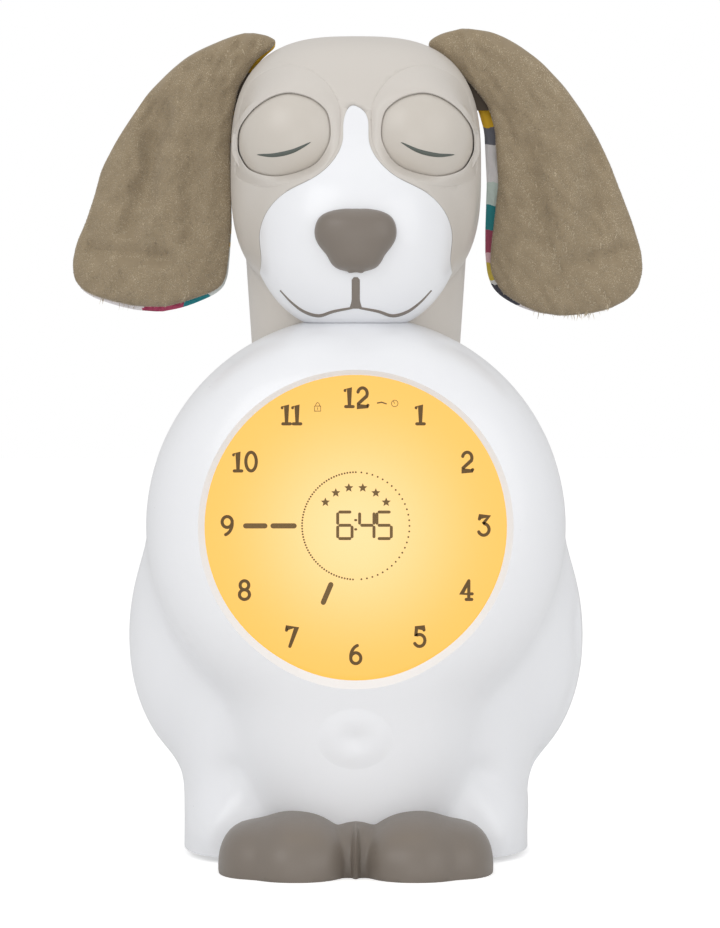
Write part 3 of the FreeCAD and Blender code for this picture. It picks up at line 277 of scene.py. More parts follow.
for look, names in NODE_LOOKS.items():
    for name in names:
        piece = frame["nodes"][name]
        piece.data.materials.clear()
        piece.data.materials.append(LOOKS[look])

# Meshes made here


def mesh_piece(name, points, faces, look, body="root", smooth=True):
    """A mesh given in millimetres, with its look, riding on one body."""
    mesh = bpy.data.meshes.new(name)
    mesh.from_pydata([tuple(c * MM for c in p) for p in points], [], faces)
    mesh.validate()
    if smooth:
        mesh.shade_smooth()
    else:
        mesh.shade_flat()
    piece = bpy.data.objects.new(name, mesh)
    bpy.context.scene.collection.objects.link(piece)
    piece.data.materials.append(look)
    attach(piece, body)
    return piece


def net(lines, count, closed=True, turned=False):
    """Quads between neighbouring lines of points; closed joins the last line to the first one."""
    faces = []
    for k in range(lines if closed else lines - 1):
        here, there = k * count, (k + 1) % lines * count
        for r in range(count - 1):
            quad = [here + r, here + r + 1, there + r + 1, there + r]
            faces.append([quad[0]] + quad[:0:-1] if turned else quad)
    return faces


def polar(centre, radius, angle):
    """A place at a distance and an angle in degrees from a centre."""
    turn = math.radians(angle)
    return centre[0] + radius * math.cos(turn), centre[1] + radius * math.sin(turn)


# Strokes lie at slightly different depths, so that crossing ones don't share a plane
STROKE_STEP, STROKE_DEPTHS = 0.002, 9
MITRE_LIMIT = 0.6
CAP_STEPS = 6


class Plate:
    """Flat strokes and shapes in an X-Z plane, given a little thickness towards the viewer."""

    def __init__(self):
        self.points = []
        self.faces = []
        self.layer = 0

    def prism(self, outline, front, back):
        """A closed outline run from the back plane to the front one."""
        start, count = len(self.points), len(outline)
        self.points += [(x, front, z) for x, z in outline] + [(x, back, z) for x, z in outline]
        self.faces.append([start + k for k in range(count)])
        for k in range(count):
            n = (k + 1) % count
            self.faces.append([start + k, start + count + k, start + count + n, start + n])

    def band(self, line, width, plane, thick, closed=False):
        """A stroke of even width with round ends."""
        self.layer += 1
        front = plane - thick - STROKE_STEP * (self.layer % STROKE_DEPTHS)
        left, right = [], []
        count = len(line)
        for k, (x, z) in enumerate(line):
            before = line[k - 1] if k > 0 or closed else line[k]
            after = line[(k + 1) % count] if k < count - 1 or closed else line[k]
            dx, dz = after[0] - before[0], after[1] - before[1]
            size = math.hypot(dx, dz) or 1.0
            nx, nz = -dz / size * width / 2, dx / size * width / 2
            if 0 < k < count - 1 or closed:
                ux, uz = x - before[0], z - before[1]
                step = math.hypot(ux, uz) or 1.0
                lean = max(MITRE_LIMIT, abs((ux * dx + uz * dz) / (step * size)))
                nx, nz = nx / lean, nz / lean
            left.append((x + nx, z + nz))
            right.append((x - nx, z - nz))
        for k in range(count if closed else count - 1):
            n = (k + 1) % count
            self.prism([left[k], left[n], right[n], right[k]], front, plane)
        if not closed:
            self.prism([left[-1]] + self.cap(line[-1], left[-1], width) + [right[-1]], front, plane)
            self.prism([right[0]] + self.cap(line[0], right[0], width) + [left[0]], front, plane)

    def cap(self, centre, start, width):
        """Points of the half round end that begins beside the stroke's end."""
        begin = math.atan2(start[1] - centre[1], start[0] - centre[0])
        turns = [begin - math.pi * k / CAP_STEPS for k in range(1, CAP_STEPS)]
        return [(centre[0] + width / 2 * math.cos(turn), centre[1] + width / 2 * math.sin(turn))
                for turn in turns]


def arc(cx, cz, rx, rz, start, end, steps=18):
    """A stretch of an ellipse between two angles in degrees."""
    turns = [math.radians(start + (end - start) * k / steps) for k in range(steps + 1)]
    return [(cx + rx * math.cos(turn), cz + rz * math.sin(turn)) for turn in turns]


# Plain numerals drawn as strokes in a cell one unit high, with slab feet
GLYPHS = {
    "0": [arc(0.31, 0.5, 0.28, 0.5, 0, 360, 30)[:-1]],
    "1": [[(0.10, 0.86), (0.33, 1.0), (0.33, 0.0)], [(0.13, 0.0), (0.53, 0.0)]],
    "2": [arc(0.31, 0.70, 0.25, 0.30, 165, -28) + [(0.07, 0.14), (0.04, 0.0), (0.60, 0.0), (0.60, 0.07)]],
    "3": [[(0.04, 0.87), (0.06, 1.0), (0.54, 1.0), (0.24, 0.62)] + arc(0.27, 0.31, 0.29, 0.31, 88, -155)],
    "4": [[(0.58, 0.30), (0.02, 0.30), (0.40, 1.0)], [(0.40, 1.0), (0.40, 0.0)], [(0.26, 0.0), (0.56, 0.0)]],
    "5": [[(0.52, 0.88), (0.52, 1.0), (0.12, 1.0), (0.08, 0.56)] + arc(0.28, 0.32, 0.29, 0.32, 118, -150)],
    "6": [arc(0.31, 0.29, 0.27, 0.29, 0, 360, 24)[:-1], arc(0.55, 0.36, 0.51, 0.64, 180, 108, 10)],
    "7": [[(0.04, 0.87), (0.04, 1.0), (0.58, 1.0), (0.22, 0.0)]],
    "8": [arc(0.31, 0.26, 0.27, 0.26, 0, 360, 24)[:-1], arc(0.31, 0.76, 0.23, 0.24, 0, 360, 24)[:-1]],
    "9": [arc(0.31, 0.71, 0.27, 0.29, 0, 360, 24)[:-1], arc(0.07, 0.64, 0.51, 0.64, 0, -72, 10)],
}
# The strokes that close on themselves: a numeral and the stroke's number in it
CLOSED = {("0", 0), ("6", 0), ("8", 0), ("8", 1), ("9", 0)}
# Segments of a rounded display digit one unit high: name and its two ends
SEGMENTS = {
    "top": ((0.08, 1.0), (0.46, 1.0)), "upper_left": ((0.0, 0.93), (0.0, 0.58)),
    "upper_right": ((0.54, 0.93), (0.54, 0.58)), "middle": ((0.08, 0.5), (0.46, 0.5)),
    "lower_left": ((0.0, 0.43), (0.0, 0.07)), "lower_right": ((0.54, 0.43), (0.54, 0.07)),
    "bottom": ((0.08, 0.0), (0.46, 0.0)),
}
LIT = {
    "4": ["upper_left", "middle", "upper_right", "lower_right"],
    "5": ["top", "upper_left", "middle", "lower_right", "bottom"],
    "6": ["top", "upper_left", "middle", "lower_left", "lower_right", "bottom"],
}


def dial_numbers(centre, face):
    """Twelve numerals set upright round the dial."""
    ring, height, width, thick = 33.4, 4.85, 0.84, 0.1
    digit_width, advance_wide, advance_narrow = 0.62, 0.72, 0.56
    plate = Plate()
    for hour in range(1, 13):
        text = str(hour)
        advance = advance_narrow if text == "11" else advance_wide
        span = (advance * (len(text) - 1) + digit_width) * height
        middle = polar(centre, ring, 90 - 30 * hour)
        left, low = middle[0] - span / 2, middle[1] - height / 2
        for place, digit in enumerate(text):
            for number, line in enumerate(GLYPHS[digit]):
                moved = [(left + (x + advance * place) * height, low + z * height) for x, z in line]
                plate.band(moved, width, face, thick, (digit, number) in CLOSED)
    mesh_piece("dial_numbers", plate.points, plate.faces, LOOKS["print"], smooth=False)


def seconds_ring(plate, centre, face, thick):
    """Small dots in a ring, twice as close together on the left half."""
    ring, dot = 13.95, 0.27
    for angle in [90 + 3 * k for k in range(60)] + [-90 + 6 * k for k in range(1, 30)]:
        at = polar(centre, ring, angle)
        plate.prism([polar(at, dot, 60 * k) for k in range(6)], face - thick, face)


def star_row(plate, centre, face, thick):
    """Six small stars on an arc over the time."""
    ring, reach, waist, spacing, rise = 9.95, 1.25, 0.45, 21, 0.1
    for step in range(6):
        at = polar((centre[0], centre[1] + rise), ring, 90 + spacing * (2.5 - step))
        outline = [polar(at, reach if k % 2 == 0 else reach * waist, 90 + 36 * k) for k in range(10)]
        plate.prism(outline, face - thick, face)


def hand_bars(plate, centre, face, thick):
    """The lit bars that stand for the two hands: two at nine o'clock, one slanting down."""
    cx, cz = centre
    width, slant = 1.35, 247
    plate.band([(cx - 28.6, cz), (cx - 23.6, cz)], width, face, thick)
    plate.band([(cx - 21.5, cz), (cx - 16.0, cz)], width, face, thick)
    plate.band([polar(centre, radius, slant) for radius in (16.6, 21.6)], width, face, thick)


def lit_time(plate, centre, face, thick):
    """The time in rounded segments, with its colon."""
    cx, cz = centre
    height, width, drop = 6.9, 0.78, 3.3
    for digit, left in (("6", -4.7), ("4", 1.0), ("5", 5.5)):
        for name in LIT[digit]:
            ends = [(cx + left + x * height, cz - drop + z * height) for x, z in SEGMENTS[name]]
            plate.band(ends, width, face, thick)
    for up in (1.2, -1.2):
        plate.band([(cx - 0.15, cz + 0.3 + up), (cx + 0.1, cz + 0.3 + up)], 0.6, face, thick)


def plain_signs(plate, centre, face, thick):
    """Three generic signs over the time: a padlock, a bed and a timer."""
    cx, cz = centre
    thin, bold = 0.16, 0.35
    lock_x, lock_z, half, drop = cx - 9.9, cz + 31.1, 0.8, 1.3
    plate.band([(lock_x - half, lock_z), (lock_x - half, lock_z - drop), (lock_x + half, lock_z - drop),
                (lock_x + half, lock_z)], thin, face, thick, True)
    plate.band(arc(lock_x, lock_z + 0.1, 0.5, 0.8, 0, 180, 10), thin, face, thick)
    plate.band([(lock_x, lock_z - 0.4), (lock_x, lock_z - 0.9)], thin, face, thick)
    plate.band([(cx + 5.6, cz + 31.9), (cx + 6.7, cz + 32.1), (cx + 7.9, cz + 31.7)], bold, face, thick)
    timer_x, timer_z, timer_radius = cx + 10.1, cz + 31.8, 0.85
    plate.band(arc(timer_x, timer_z, timer_radius, timer_radius, 0, 360, 16)[:-1], thin, face, thick, True)
    plate.band([(timer_x, timer_z), (cx + 9.7, cz + 32.4)], thin, face, thick)


def dial_display(centre, face):
    """What the lit display shows."""
    plate, thick = Plate(), 0.08
    for draw in (seconds_ring, star_row, hand_bars, lit_time, plain_signs):
        draw(plate, centre, face, thick)
    mesh_piece("dial_display", plate.points, plate.faces, LOOKS["segments"], smooth=False)


RAY_START = -0.3


def front_point(nodes, x, z):
    """The place of some CAD nodes nearest to the viewer at one X and Z, with its normal, in millimetres."""
    best = None
    start = Vector((x * MM, RAY_START, z * MM))
    for name in nodes:
        hit, at, normal, _ = frame["nodes"][name].ray_cast(start, Vector((0, 1, 0)))
        if hit and (best is None or at.y < best[0].y):
            best = (at, normal)
    return best[0] / MM, best[1]


def ribbon_on(name, nodes, line, widths, lift, look, body="root"):
    """A narrow band laid on a surface along a line of places, each with its own width."""
    shares, sunk = (-1.0, -0.9, 0.0, 0.9, 1.0), -0.05
    points = []
    for k, (x, z) in enumerate(line):
        before, after = line[max(k - 1, 0)], line[min(k + 1, len(line) - 1)]
        dx, dz = after[0] - before[0], after[1] - before[1]
        size = math.hypot(dx, dz)
        nx, nz = -dz / size * widths[k] / 2, dx / size * widths[k] / 2
        for share in shares:
            at, normal = front_point(nodes, x + nx * share, z + nz * share)
            rise = sunk if abs(share) == 1.0 else lift
            points.append(at + normal * rise)
    faces = net(len(line), len(shares), closed=False, turned=True)
    mesh_piece(name, points, faces, look, body)


def smooth_line(points, steps):
    """A round curve through places, sampled evenly between each two."""
    result = []
    for k in range(len(points) - 1):
        before = points[max(k - 1, 0)]
        a, b = points[k], points[k + 1]
        after = points[min(k + 2, len(points) - 1)]
        for s in range(steps):
            t = s / steps
            result.append(tuple(0.5 * ((2 * p1) + (-p0 + p2) * t + (2 * p0 - 5 * p1 + 4 * p2 - p3) * t * t
                                       + (-p0 + 3 * p1 - 3 * p2 + p3) * t ** 3)
                                for p0, p1, p2, p3 in zip(before, a, b, after)))
    result.append(tuple(points[-1]))
    return result


# The right halves of the mouth and of the lashes, as X and Z in the photograph's view
MOUTH_CURVE = [(0.9, 146.9), (5.8, 146.0), (9.7, 144.9), (13.6, 146.0), (17.0, 148.5), (19.9, 151.6)]
LASH_CURVE = [(26.0, 187.3), (21.5, 187.0), (16.5, 188.0), (11.8, 190.3)]
MOUTH_LIFT, LASH_LIFT = 0.12, 0.06


def mouth():
    """The mouth's taupe inlay: a short bar under the nose and a curve to each side."""
    nodes = ["muzzle_panel", "head_front_shell"]
    top, step, count = 154.8, 0.35, 24
    bar = [(0.0, top - step * k) for k in range(count)]
    widths = [2.2 * min(1, 0.45 + 0.28 * k) + 0.06 * max(0, k - 16) ** 1.6 for k in range(count)]
    ribbon_on("mouth_bar", nodes, bar, widths, MOUTH_LIFT, LOOKS["mouth"])
    half = smooth_line(MOUTH_CURVE, 8)
    along_half = [min(1, 0.12 + 0.95 * k / (len(half) - 1)) for k in range(len(half))]
    widths = [0.3 + 0.5 * math.sin(math.pi * share) for share in along_half]
    for side, name in ((1, "mouth_right"), (-1, "mouth_left")):
        ribbon_on(name, nodes, [(side * x, z) for x, z in half], widths, MOUTH_LIFT, LOOKS["mouth"])


def lashes():
    """The lens-shaped slit drawn on each closed lid."""
    line = smooth_line(LASH_CURVE, 10)
    widths = [0.05 + 1.15 * math.sin(math.pi * k / (len(line) - 1)) ** 0.8 for k in range(len(line))]
    for side, name in ((1, "right"), (-1, "left")):
        ribbon_on(name + "_lash", [name + "_eyelid"], [(side * x, z) for x, z in line], widths, LASH_LIFT,
                  LOOKS["lash"], "eyes")


# Plush ears, in millimetres. Inner and outer edges: heights, and distances from the head's middle plane.
# Lining: how far the plush keeps out from the inner edge, where the knitted back shows beside it.
# Folds: two ends as X and Z, a width and a depth.
EARS = {
    "right": {
        "side": 1, "top": 223.0, "low": 145.4, "raised": 0.0,
        "inner": [(223.0, 28.5), (221.5, 22.2), (219.0, 18.6), (213.2, 24.5), (207.5, 29.3), (202.0, 33.0),
                  (195.5, 34.9), (181.4, 35.6), (168.7, 35.2), (161.9, 35.2), (156.5, 35.8), (152.4, 37.4),
                  (149.1, 41.5), (146.4, 47.8), (145.4, 55.0)],
        "outer": [(223.0, 30.5), (222.1, 37.2), (219.2, 43.2), (214.3, 50.0), (207.5, 56.5), (201.0, 61.2),
                  (194.8, 65.0), (187.0, 68.8), (178.6, 72.1), (170.9, 75.1), (163.0, 77.6), (157.6, 78.1),
                  (152.4, 76.7), (148.6, 72.6), (146.1, 65.6), (145.4, 57.0)],
        "lining": [(219.0, 0.0), (214.0, 1.0), (207.0, 2.4), (202.0, 2.9), (193.0, 2.8), (181.0, 3.0),
                   (170.0, 2.2), (164.0, 1.5), (158.0, 0.9), (153.0, 1.6), (148.0, 1.6), (145.4, 0.0)],
        "folds": [((47.0, 190.0), (51.0, 166.0), 3.2, 1.1), ((65.0, 189.0), (64.0, 168.0), 3.4, 1.0),
                  ((56.0, 158.0), (72.0, 163.0), 2.6, 0.7), ((40.0, 200.0), (46.0, 176.0), 3.0, 0.8)],
    },
    "left": {
        "side": -1, "top": 221.8, "low": 146.5, "raised": 1.3,
        "inner": [(221.8, 27.5), (221.1, 23.6), (219.2, 20.7), (215.1, 25.6), (207.2, 31.6), (199.0, 33.4),
                  (191.1, 34.1), (177.5, 33.9), (169.8, 33.8), (162.5, 34.3), (155.9, 34.9), (152.1, 36.6),
                  (150.2, 40.3), (148.6, 44.0), (147.5, 47.4), (146.5, 52.6)],
        "outer": [(221.8, 30.2), (221.1, 33.0), (219.2, 38.1), (215.9, 45.1), (211.6, 50.4), (205.6, 56.4),
                  (196.9, 62.4), (192.5, 65.2), (185.1, 69.1), (177.5, 71.2), (170.4, 73.6), (165.2, 76.0),
                  (159.7, 77.2), (154.8, 76.6), (151.0, 73.6), (148.8, 67.9), (146.9, 60.3), (146.5, 54.5)],
        "lining": [(219.0, 0.0), (214.0, 1.2), (209.0, 0.3), (200.0, 0.0), (170.0, 0.0), (152.0, 0.4),
                   (148.0, 1.5), (146.5, 0.0)],
        "folds": [((52.0, 199.0), (61.0, 169.0), 3.4, 1.2), ((56.0, 202.0), (56.0, 178.0), 3.0, 0.8),
                  ((52.0, 161.0), (71.0, 163.0), 2.6, 0.9), ((44.0, 190.0), (45.0, 166.0), 3.2, 0.8)],
    },
}


def along(table, z):
    """A value read from a table of heights and values, falling in height."""
    if z >= table[0][0]:
        return table[0][1]
    for (high, first), (low, second) in zip(table, table[1:]):
        if low <= z <= high:
            share = (high - z) / (high - low)
            return first + (second - first) * share
    return table[-1][1]


SOFT_REACH, SOFT_SHARE, SOFT_STEPS = 1.6, 0.6, 3


def softened(table, z):
    """The same value, averaged over a few heights so that no corner shows."""
    reach = min(SOFT_REACH, SOFT_SHARE * abs(table[0][0] - z), SOFT_SHARE * abs(z - table[-1][0]))
    heights = [z + reach * k / SOFT_STEPS for k in range(-SOFT_STEPS, SOFT_STEPS + 1)]
    return sum(along(table, height) for height in heights) / len(heights)


def fold_depth(folds, x, z):
    """How deep the soft folds are at one X and Z."""
    total = 0.0
    for (x0, z0), (x1, z1), width, depth in folds:
        dx, dz = x1 - x0, z1 - z0
        share = max(0.0, min(1.0, ((x - x0) * dx + (z - z0) * dz) / (dx * dx + dz * dz)))
        gap = math.hypot(x - x0 - share * dx, z - z0 - share * dz)
        total += depth * math.exp(-(gap / width) ** 2)
    return total


# How an ear's lens is squared off at its ends and sides, and how it bows back towards its tip
END_POWER, SIDE_POWER, THINNEST = 10, 3.2, 0.05
BOW, BOW_MIDDLE, BOW_REACH = 3.0, 36, 40
RAISE_FADE = 9.0
FOLDS, TUFTS, SWELLS = 2.3, 0.9, 0.6


def ear_body(ear, levels, across, front, back, inset=0.0, raised=0.0, relief=None):
    """A stuffed lens between a front and a back depth, following the ear's edges level by level."""
    side, points, faces = ear["side"], [], []
    span = ear["top"] - ear["low"] - raised
    middle_depth = (front + back) / 2
    half = (back - front) / 2
    for level in range(levels + 1):
        share = 0.5 - 0.5 * math.cos(math.pi * level / levels)
        z = ear["top"] - span * share
        read = z - raised * max(0.0, 1 - (z - ear["low"]) / RAISE_FADE)
        inner = softened(ear["inner"], read) + inset * softened(ear["lining"], read)
        outer = softened(ear["outer"], read)
        ends = max(0.0, 1 - abs(2 * share - 1) ** END_POWER) ** 0.5
        for step in range(2 * across):
            place = -math.cos(math.pi * step / across)
            sign = 1 if step < across else -1
            x = (inner + outer) / 2 + (outer - inner) / 2 * place
            body = max(0.0, 1 - abs(place) ** SIDE_POWER) ** 0.5
            depth = half * body * max(ends, THINNEST)
            y = middle_depth + BOW * ((x - BOW_MIDDLE) / BOW_REACH) ** 2 - sign * depth
            if sign > 0:
                tuft = noise.noise(Vector((x * 0.42 + z * 0.16, z * 0.22, side * 5.0)))
                swell = noise.noise(Vector((x * 0.09, z * 0.07, side * 3.0)))
                y += body * (FOLDS * fold_depth(ear["folds"], x, z) + TUFTS * tuft + SWELLS * swell)
            if relief:
                y -= sign * body * relief(x, z)
            points.append((side * x, y, z))
    ring = 2 * across
    for level in range(levels):
        for step in range(ring):
            n = (step + 1) % ring
            quad = [level * ring + step, level * ring + n, (level + 1) * ring + n, (level + 1) * ring + step]
            faces.append(quad[::side])
    faces.append(list(range(ring))[::-side])
    faces.append(list(range(levels * ring, (levels + 1) * ring))[::side])
    return points, faces


STITCH_WIDE, STITCH_HIGH, STITCH_SLANT = 1.7, 1.5, 1.1
STITCH_RELIEF, GROOVE_RELIEF = 0.22, 0.25


def knit(x, z):
    """The height of a knitted face: columns of slanted stitches."""
    column = x / STITCH_WIDE
    lean = abs(column - math.floor(column) - 0.5)
    row = 2 * math.pi * (z / STITCH_HIGH + STITCH_SLANT * lean)
    return STITCH_RELIEF * (0.5 + 0.5 * math.cos(row)) - GROOVE_RELIEF * (0.5 - lean) ** 4 * 16


# Hairs: length, width and how far they stand up, each between two sizes, and the underside that stays bare
HAIR_LENGTH, HAIR_WIDTH, HAIR_RISE = (1.1, 2.1), (0.13, 0.24), (0.35, 0.75)
BARE_BELOW = -0.45
HAIR_POINTS = 5


def pile(name, points, faces, count, seed, look):
    """Short flat hairs planted on a plush face, leaning downwards in soft swirls."""
    chance = random.Random(seed)
    corners = [[Vector(points[k]) for k in face] for face in faces if len(face) == 4]
    areas, total = [], 0.0
    for a, b, _, d in corners:
        total += (b - a).cross(d - a).length
        areas.append(total)
    hairs, sides = [], []
    while len(hairs) < HAIR_POINTS * count:
        picked = bisect.bisect(areas, chance.random() * total)
        a, b, c, d = corners[min(picked, len(corners) - 1)]
        u, v = chance.random(), chance.random()
        root = a.lerp(b, u).lerp(d.lerp(c, u), v)
        normal = (b - a).cross(d - a).normalized()
        if normal.z < BARE_BELOW:
            continue
        swirl = noise.noise(Vector((root.x * 0.11, root.y * 0.11, root.z * 0.08)))
        lean = Vector((0.55 * swirl + chance.gauss(0, 0.22) - 0.25, 0, -1.0))
        lean = (lean - normal * lean.dot(normal)).normalized() if lean.cross(normal).length > 0.1 else lean
        length = chance.uniform(*HAIR_LENGTH)
        width = chance.uniform(*HAIR_WIDTH)
        rise = chance.uniform(*HAIR_RISE)
        first = root + (normal * rise + lean * 0.75).normalized() * length * 0.55
        tip = first + (normal * (rise - HAIR_RISE[0]) + lean).normalized() * length * 0.5
        across = lean.cross(normal).normalized() * width / 2
        across = (across + normal * chance.uniform(-0.05, 0.05)).normalized() * width / 2
        start = len(hairs)
        base = root - normal * 0.1
        hairs += [base - across, base + across, first + across * 0.8, first - across * 0.8, tip]
        sides += [[start, start + 1, start + 2, start + 3], [start + 3, start + 2, start + 4]]
    return mesh_piece(name, hairs, sides, look, smooth=False)


def ears():
    """Each ear: the stuffed plush that stands for the CAD ear, its pile, and the knitted back."""
    hairs = 42000
    fine = 150
    plush_front, plush_back, knit_front, knit_back = -4.4, 1.6, 0.2, 4.2
    for number, (name, ear) in enumerate(EARS.items()):
        points, faces = ear_body(ear, 90, 44, plush_front, plush_back, inset=1.0, raised=ear["raised"])
        plush = mesh_piece(name + "_ear_plush", points, faces, LOOKS["plush"])
        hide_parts(name + "_ear")
        fur = pile(name + "_ear_pile", points, faces, hairs, 11 + number, LOOKS["pile"])
        points, faces = ear_body(ear, fine, fine * 3 // 5, knit_front, knit_back, relief=knit)
        lining = mesh_piece(name + "_ear_lining", points, faces, LOOKS[name + "_knit"])


# Blends of rounded lobes: each lobe has a centre, half sizes, and how square it is in plan and in depth

BLEND = 14.0
HALVINGS, FARTHEST = 18, 60.0
HEAD_LOBES = [((0, 1, 184.8), (34.0, 34.0, 36.0), (2.9, 2.5)),
              ((0, -20, 166.0), (26.0, 25.0, 25.4), (2.2, 2.2))]
PAW_MIDDLE = [((0, -44, 3), (8, 14, 10.0), (2.2, 2.2)), ((0, -50, 4), (1.3, 11.5, 8.5), (2.0, 2.0))]
PAW_SIDE = [((15.5, -44, 1.5), (14.0, 22.8, 13.9), (2.3, 2.3)),
            ((25.9, -43, 1.5), (10.0, 17.5, 11.6), (2.3, 2.3)),
            ((17.5, -55, 4.5), (6.5, 9.5, 7.4), (2.0, 2.0)),
            ((9.0, -54, 4.0), (5.5, 9.5, 7.2), (2.0, 2.0)),
            ((26.5, -51, 4.0), (6.0, 8.5, 7.0), (2.0, 2.0))]
PAW_LOBES = PAW_MIDDLE + [((side * x, y, z), half, powers) for side in (1, -1)
                          for (x, y, z), half, powers in PAW_SIDE]


def blend_sum(lobes, x, y, z):
    """Over 1 inside the blended lobes and under 1 outside, for one place or for arrays of places."""
    total = 0.0
    for centre, half, (plan, bend) in lobes:
        across, deep, up = [abs(at - middle) / size for at, middle, size in zip((x, y, z), centre, half)]
        face = (across ** plan + up ** plan) ** (bend / plan)
        total = total + np.exp(BLEND * (1 - (face + deep ** bend) ** (1 / bend)))
    return total


# The eye's ball, and the ring round it: its line as X and Z in the photograph's view, and its middle
EYE = (15.5, -19.5, 192.5)
BALL, GAP = 16.0, 0.4
RING = [(17.52, 203.39), (12.48, 202.23), (9.16, 200.11), (7.42, 197.86), (6.65, 193.8), (7.23, 189.77),
        (10.23, 185.15), (15.29, 182.58), (21.98, 181.66), (27.98, 183.54), (30.69, 187.17), (31.38, 189.87),
        (30.85, 194.32), (28.5, 197.78), (25.84, 200.21), (21.96, 202.45)]
RING_MIDDLE = (19.0, 192.3)
RIM_ROWS, RING_STEPS = 14, 9
# How wide a rim is, what the brow and the outer corner add, and the depth where the head's side begins
RIM_WIDE, BROW_WIDE, CORNER_WIDE, SIDE_DEPTH = 2.6, 6.0, 1.5, -13
LEAST_WIDE, NARROWING = 0.4, 0.2
RIM_ROLL, RIM_TUCK = 0.4, 0.2
# The cutting tools stay a little nearer to the ball and start well before the face
TOOL_GAP, TOOL_FRONT = 0.2, -70.0


def head_depth(x, z):
    """Where the head's front lies at one X and Z."""
    near, far = 0.0, FARTHEST
    for _ in range(HALVINGS):
        middle = (near + far) / 2
        if blend_sum(HEAD_LOBES, x, -middle, z) > 1:
            near = middle
        else:
            far = middle
    return -near


def ball_depth(x, z, radius):
    """Where a ball of some radius round the eye's centre lies at one X and Z."""
    inside = radius ** 2 - (x - EYE[0]) ** 2 - (z - EYE[2]) ** 2
    return EYE[1] - math.sqrt(max(inside, 0.0))


def round_line(points, steps):
    """A smooth closed curve through places."""
    count = len(points)
    result = []
    for k in range(count):
        four = [points[(k + j) % count] for j in (-1, 0, 1, 2)]
        result += smooth_line(four, steps)[steps:2 * steps]
    return result


def outward(x, z):
    """The way outward from the middle of an eye's ring at one place."""
    dx, dz = x - RING_MIDDLE[0], z - RING_MIDDLE[1]
    size = math.hypot(dx, dz)
    return dx / size, dz / size


def rim_rows():
    """Rays outward from an eye's ring: from the socket, over a soft roll, to the head's plain form."""
    rays = []
    for x0, z0 in round_line(RING, RING_STEPS):
        dx, dz = outward(x0, z0)
        step = ball_depth(x0, z0, BALL + GAP) - head_depth(x0, z0)
        wide = RIM_WIDE + BROW_WIDE * max(0.0, dz) ** 2 + CORNER_WIDE * max(0.0, dx)
        while wide > LEAST_WIDE and head_depth(x0 + dx * wide, z0 + dz * wide) > SIDE_DEPTH:
            wide -= NARROWING
        rows = []
        for row in range(RIM_ROWS + 1):
            share = row / RIM_ROWS
            x, z = x0 + dx * wide * share, z0 + dz * wide * share
            fade = 1 - share * share * (3 - 2 * share)
            roll = RIM_ROLL * math.sin(math.pi * share) ** 1.5
            depth = head_depth(x, z) + step * fade - roll * min(1.0, wide / 2) + RIM_TUCK * share ** 8
            rows.append((x, depth, z))
        rays.append(rows)
    return rays


def closed_mesh(name, rays):
    """A closed tool that takes away all that lies before a fan of rays, for cutting only."""
    count, rows = len(rays), len(rays[0])
    points = [place for ray in rays for place in ray]
    points += [(ray[-1][0], TOOL_FRONT, ray[-1][2]) for ray in rays]
    back = len(points)
    x, z = [sum(ray[0][k] for ray in rays) / count for k in (0, 2)]
    points += [(x, ball_depth(x, z, BALL + TOOL_GAP), z), (x, TOOL_FRONT, z)]
    faces = []
    for k in range(count):
        n = (k + 1) % count
        for row in range(rows - 1):
            faces.append([k * rows + row, k * rows + row + 1, n * rows + row + 1, n * rows + row])
        faces.append([k * rows + rows - 1, count * rows + k, count * rows + n, n * rows + rows - 1])
        faces.append([back, k * rows, n * rows])
        faces.append([back + 1, count * rows + n, count * rows + k])
    mesh = bpy.data.meshes.new(name)
    mesh.from_pydata([tuple(c * MM for c in p) for p in points], [], faces)
    bm = bmesh.new()
    bm.from_mesh(mesh)
    bmesh.ops.recalc_face_normals(bm, faces=bm.faces)
    bm.to_mesh(mesh)
    bm.free()
    tool = bpy.data.objects.new(name, mesh)
    bpy.context.scene.collection.objects.link(tool)
    return tool


def eye_rim(name, side, rays):
    """A soft raised rim round one eye, with a lip that follows the socket behind its ring."""
    lines = []
    for rows in rays:
        x0, _, z0 = rows[0]
        dx, dz = outward(x0, z0)
        lip = [(x0 + dx * off, z0 + dz * off) for off in (1.6, 0.8, 0.2)]
        lip = [(x, ball_depth(x, z, BALL + GAP), z) for x, z in lip]
        lines.append([(side * x, y, z) for x, y, z in lip + rows])
    points = [p for line in lines for p in line]
    faces = net(len(lines), len(lines[0]))
    mesh_piece(name + "_eye_rim", points, [f[::side] for f in faces], LOOKS["beige"])


def eye_tool(name, side, rays):
    """What opens the head's front round one eye, out to just inside the rim's outer edge."""
    lines = []
    for rows in rays:
        x0, _, z0 = rows[0]
        dip = []
        for share in (0.35, 0.7, 0.97):
            x = RING_MIDDLE[0] + (x0 - RING_MIDDLE[0]) * share
            z = RING_MIDDLE[1] + (z0 - RING_MIDDLE[1]) * share
            dip.append((side * x, ball_depth(x, z, BALL + TOOL_GAP), z))
        last = (side * rows[-1][0], rows[-1][1] - 0.7, rows[-1][2])
        lines.append(dip + [(side * x, y + 0.12, z) for x, y, z in rows[:-1]] + [last])
    return closed_mesh(name + "_eye_tool", lines)


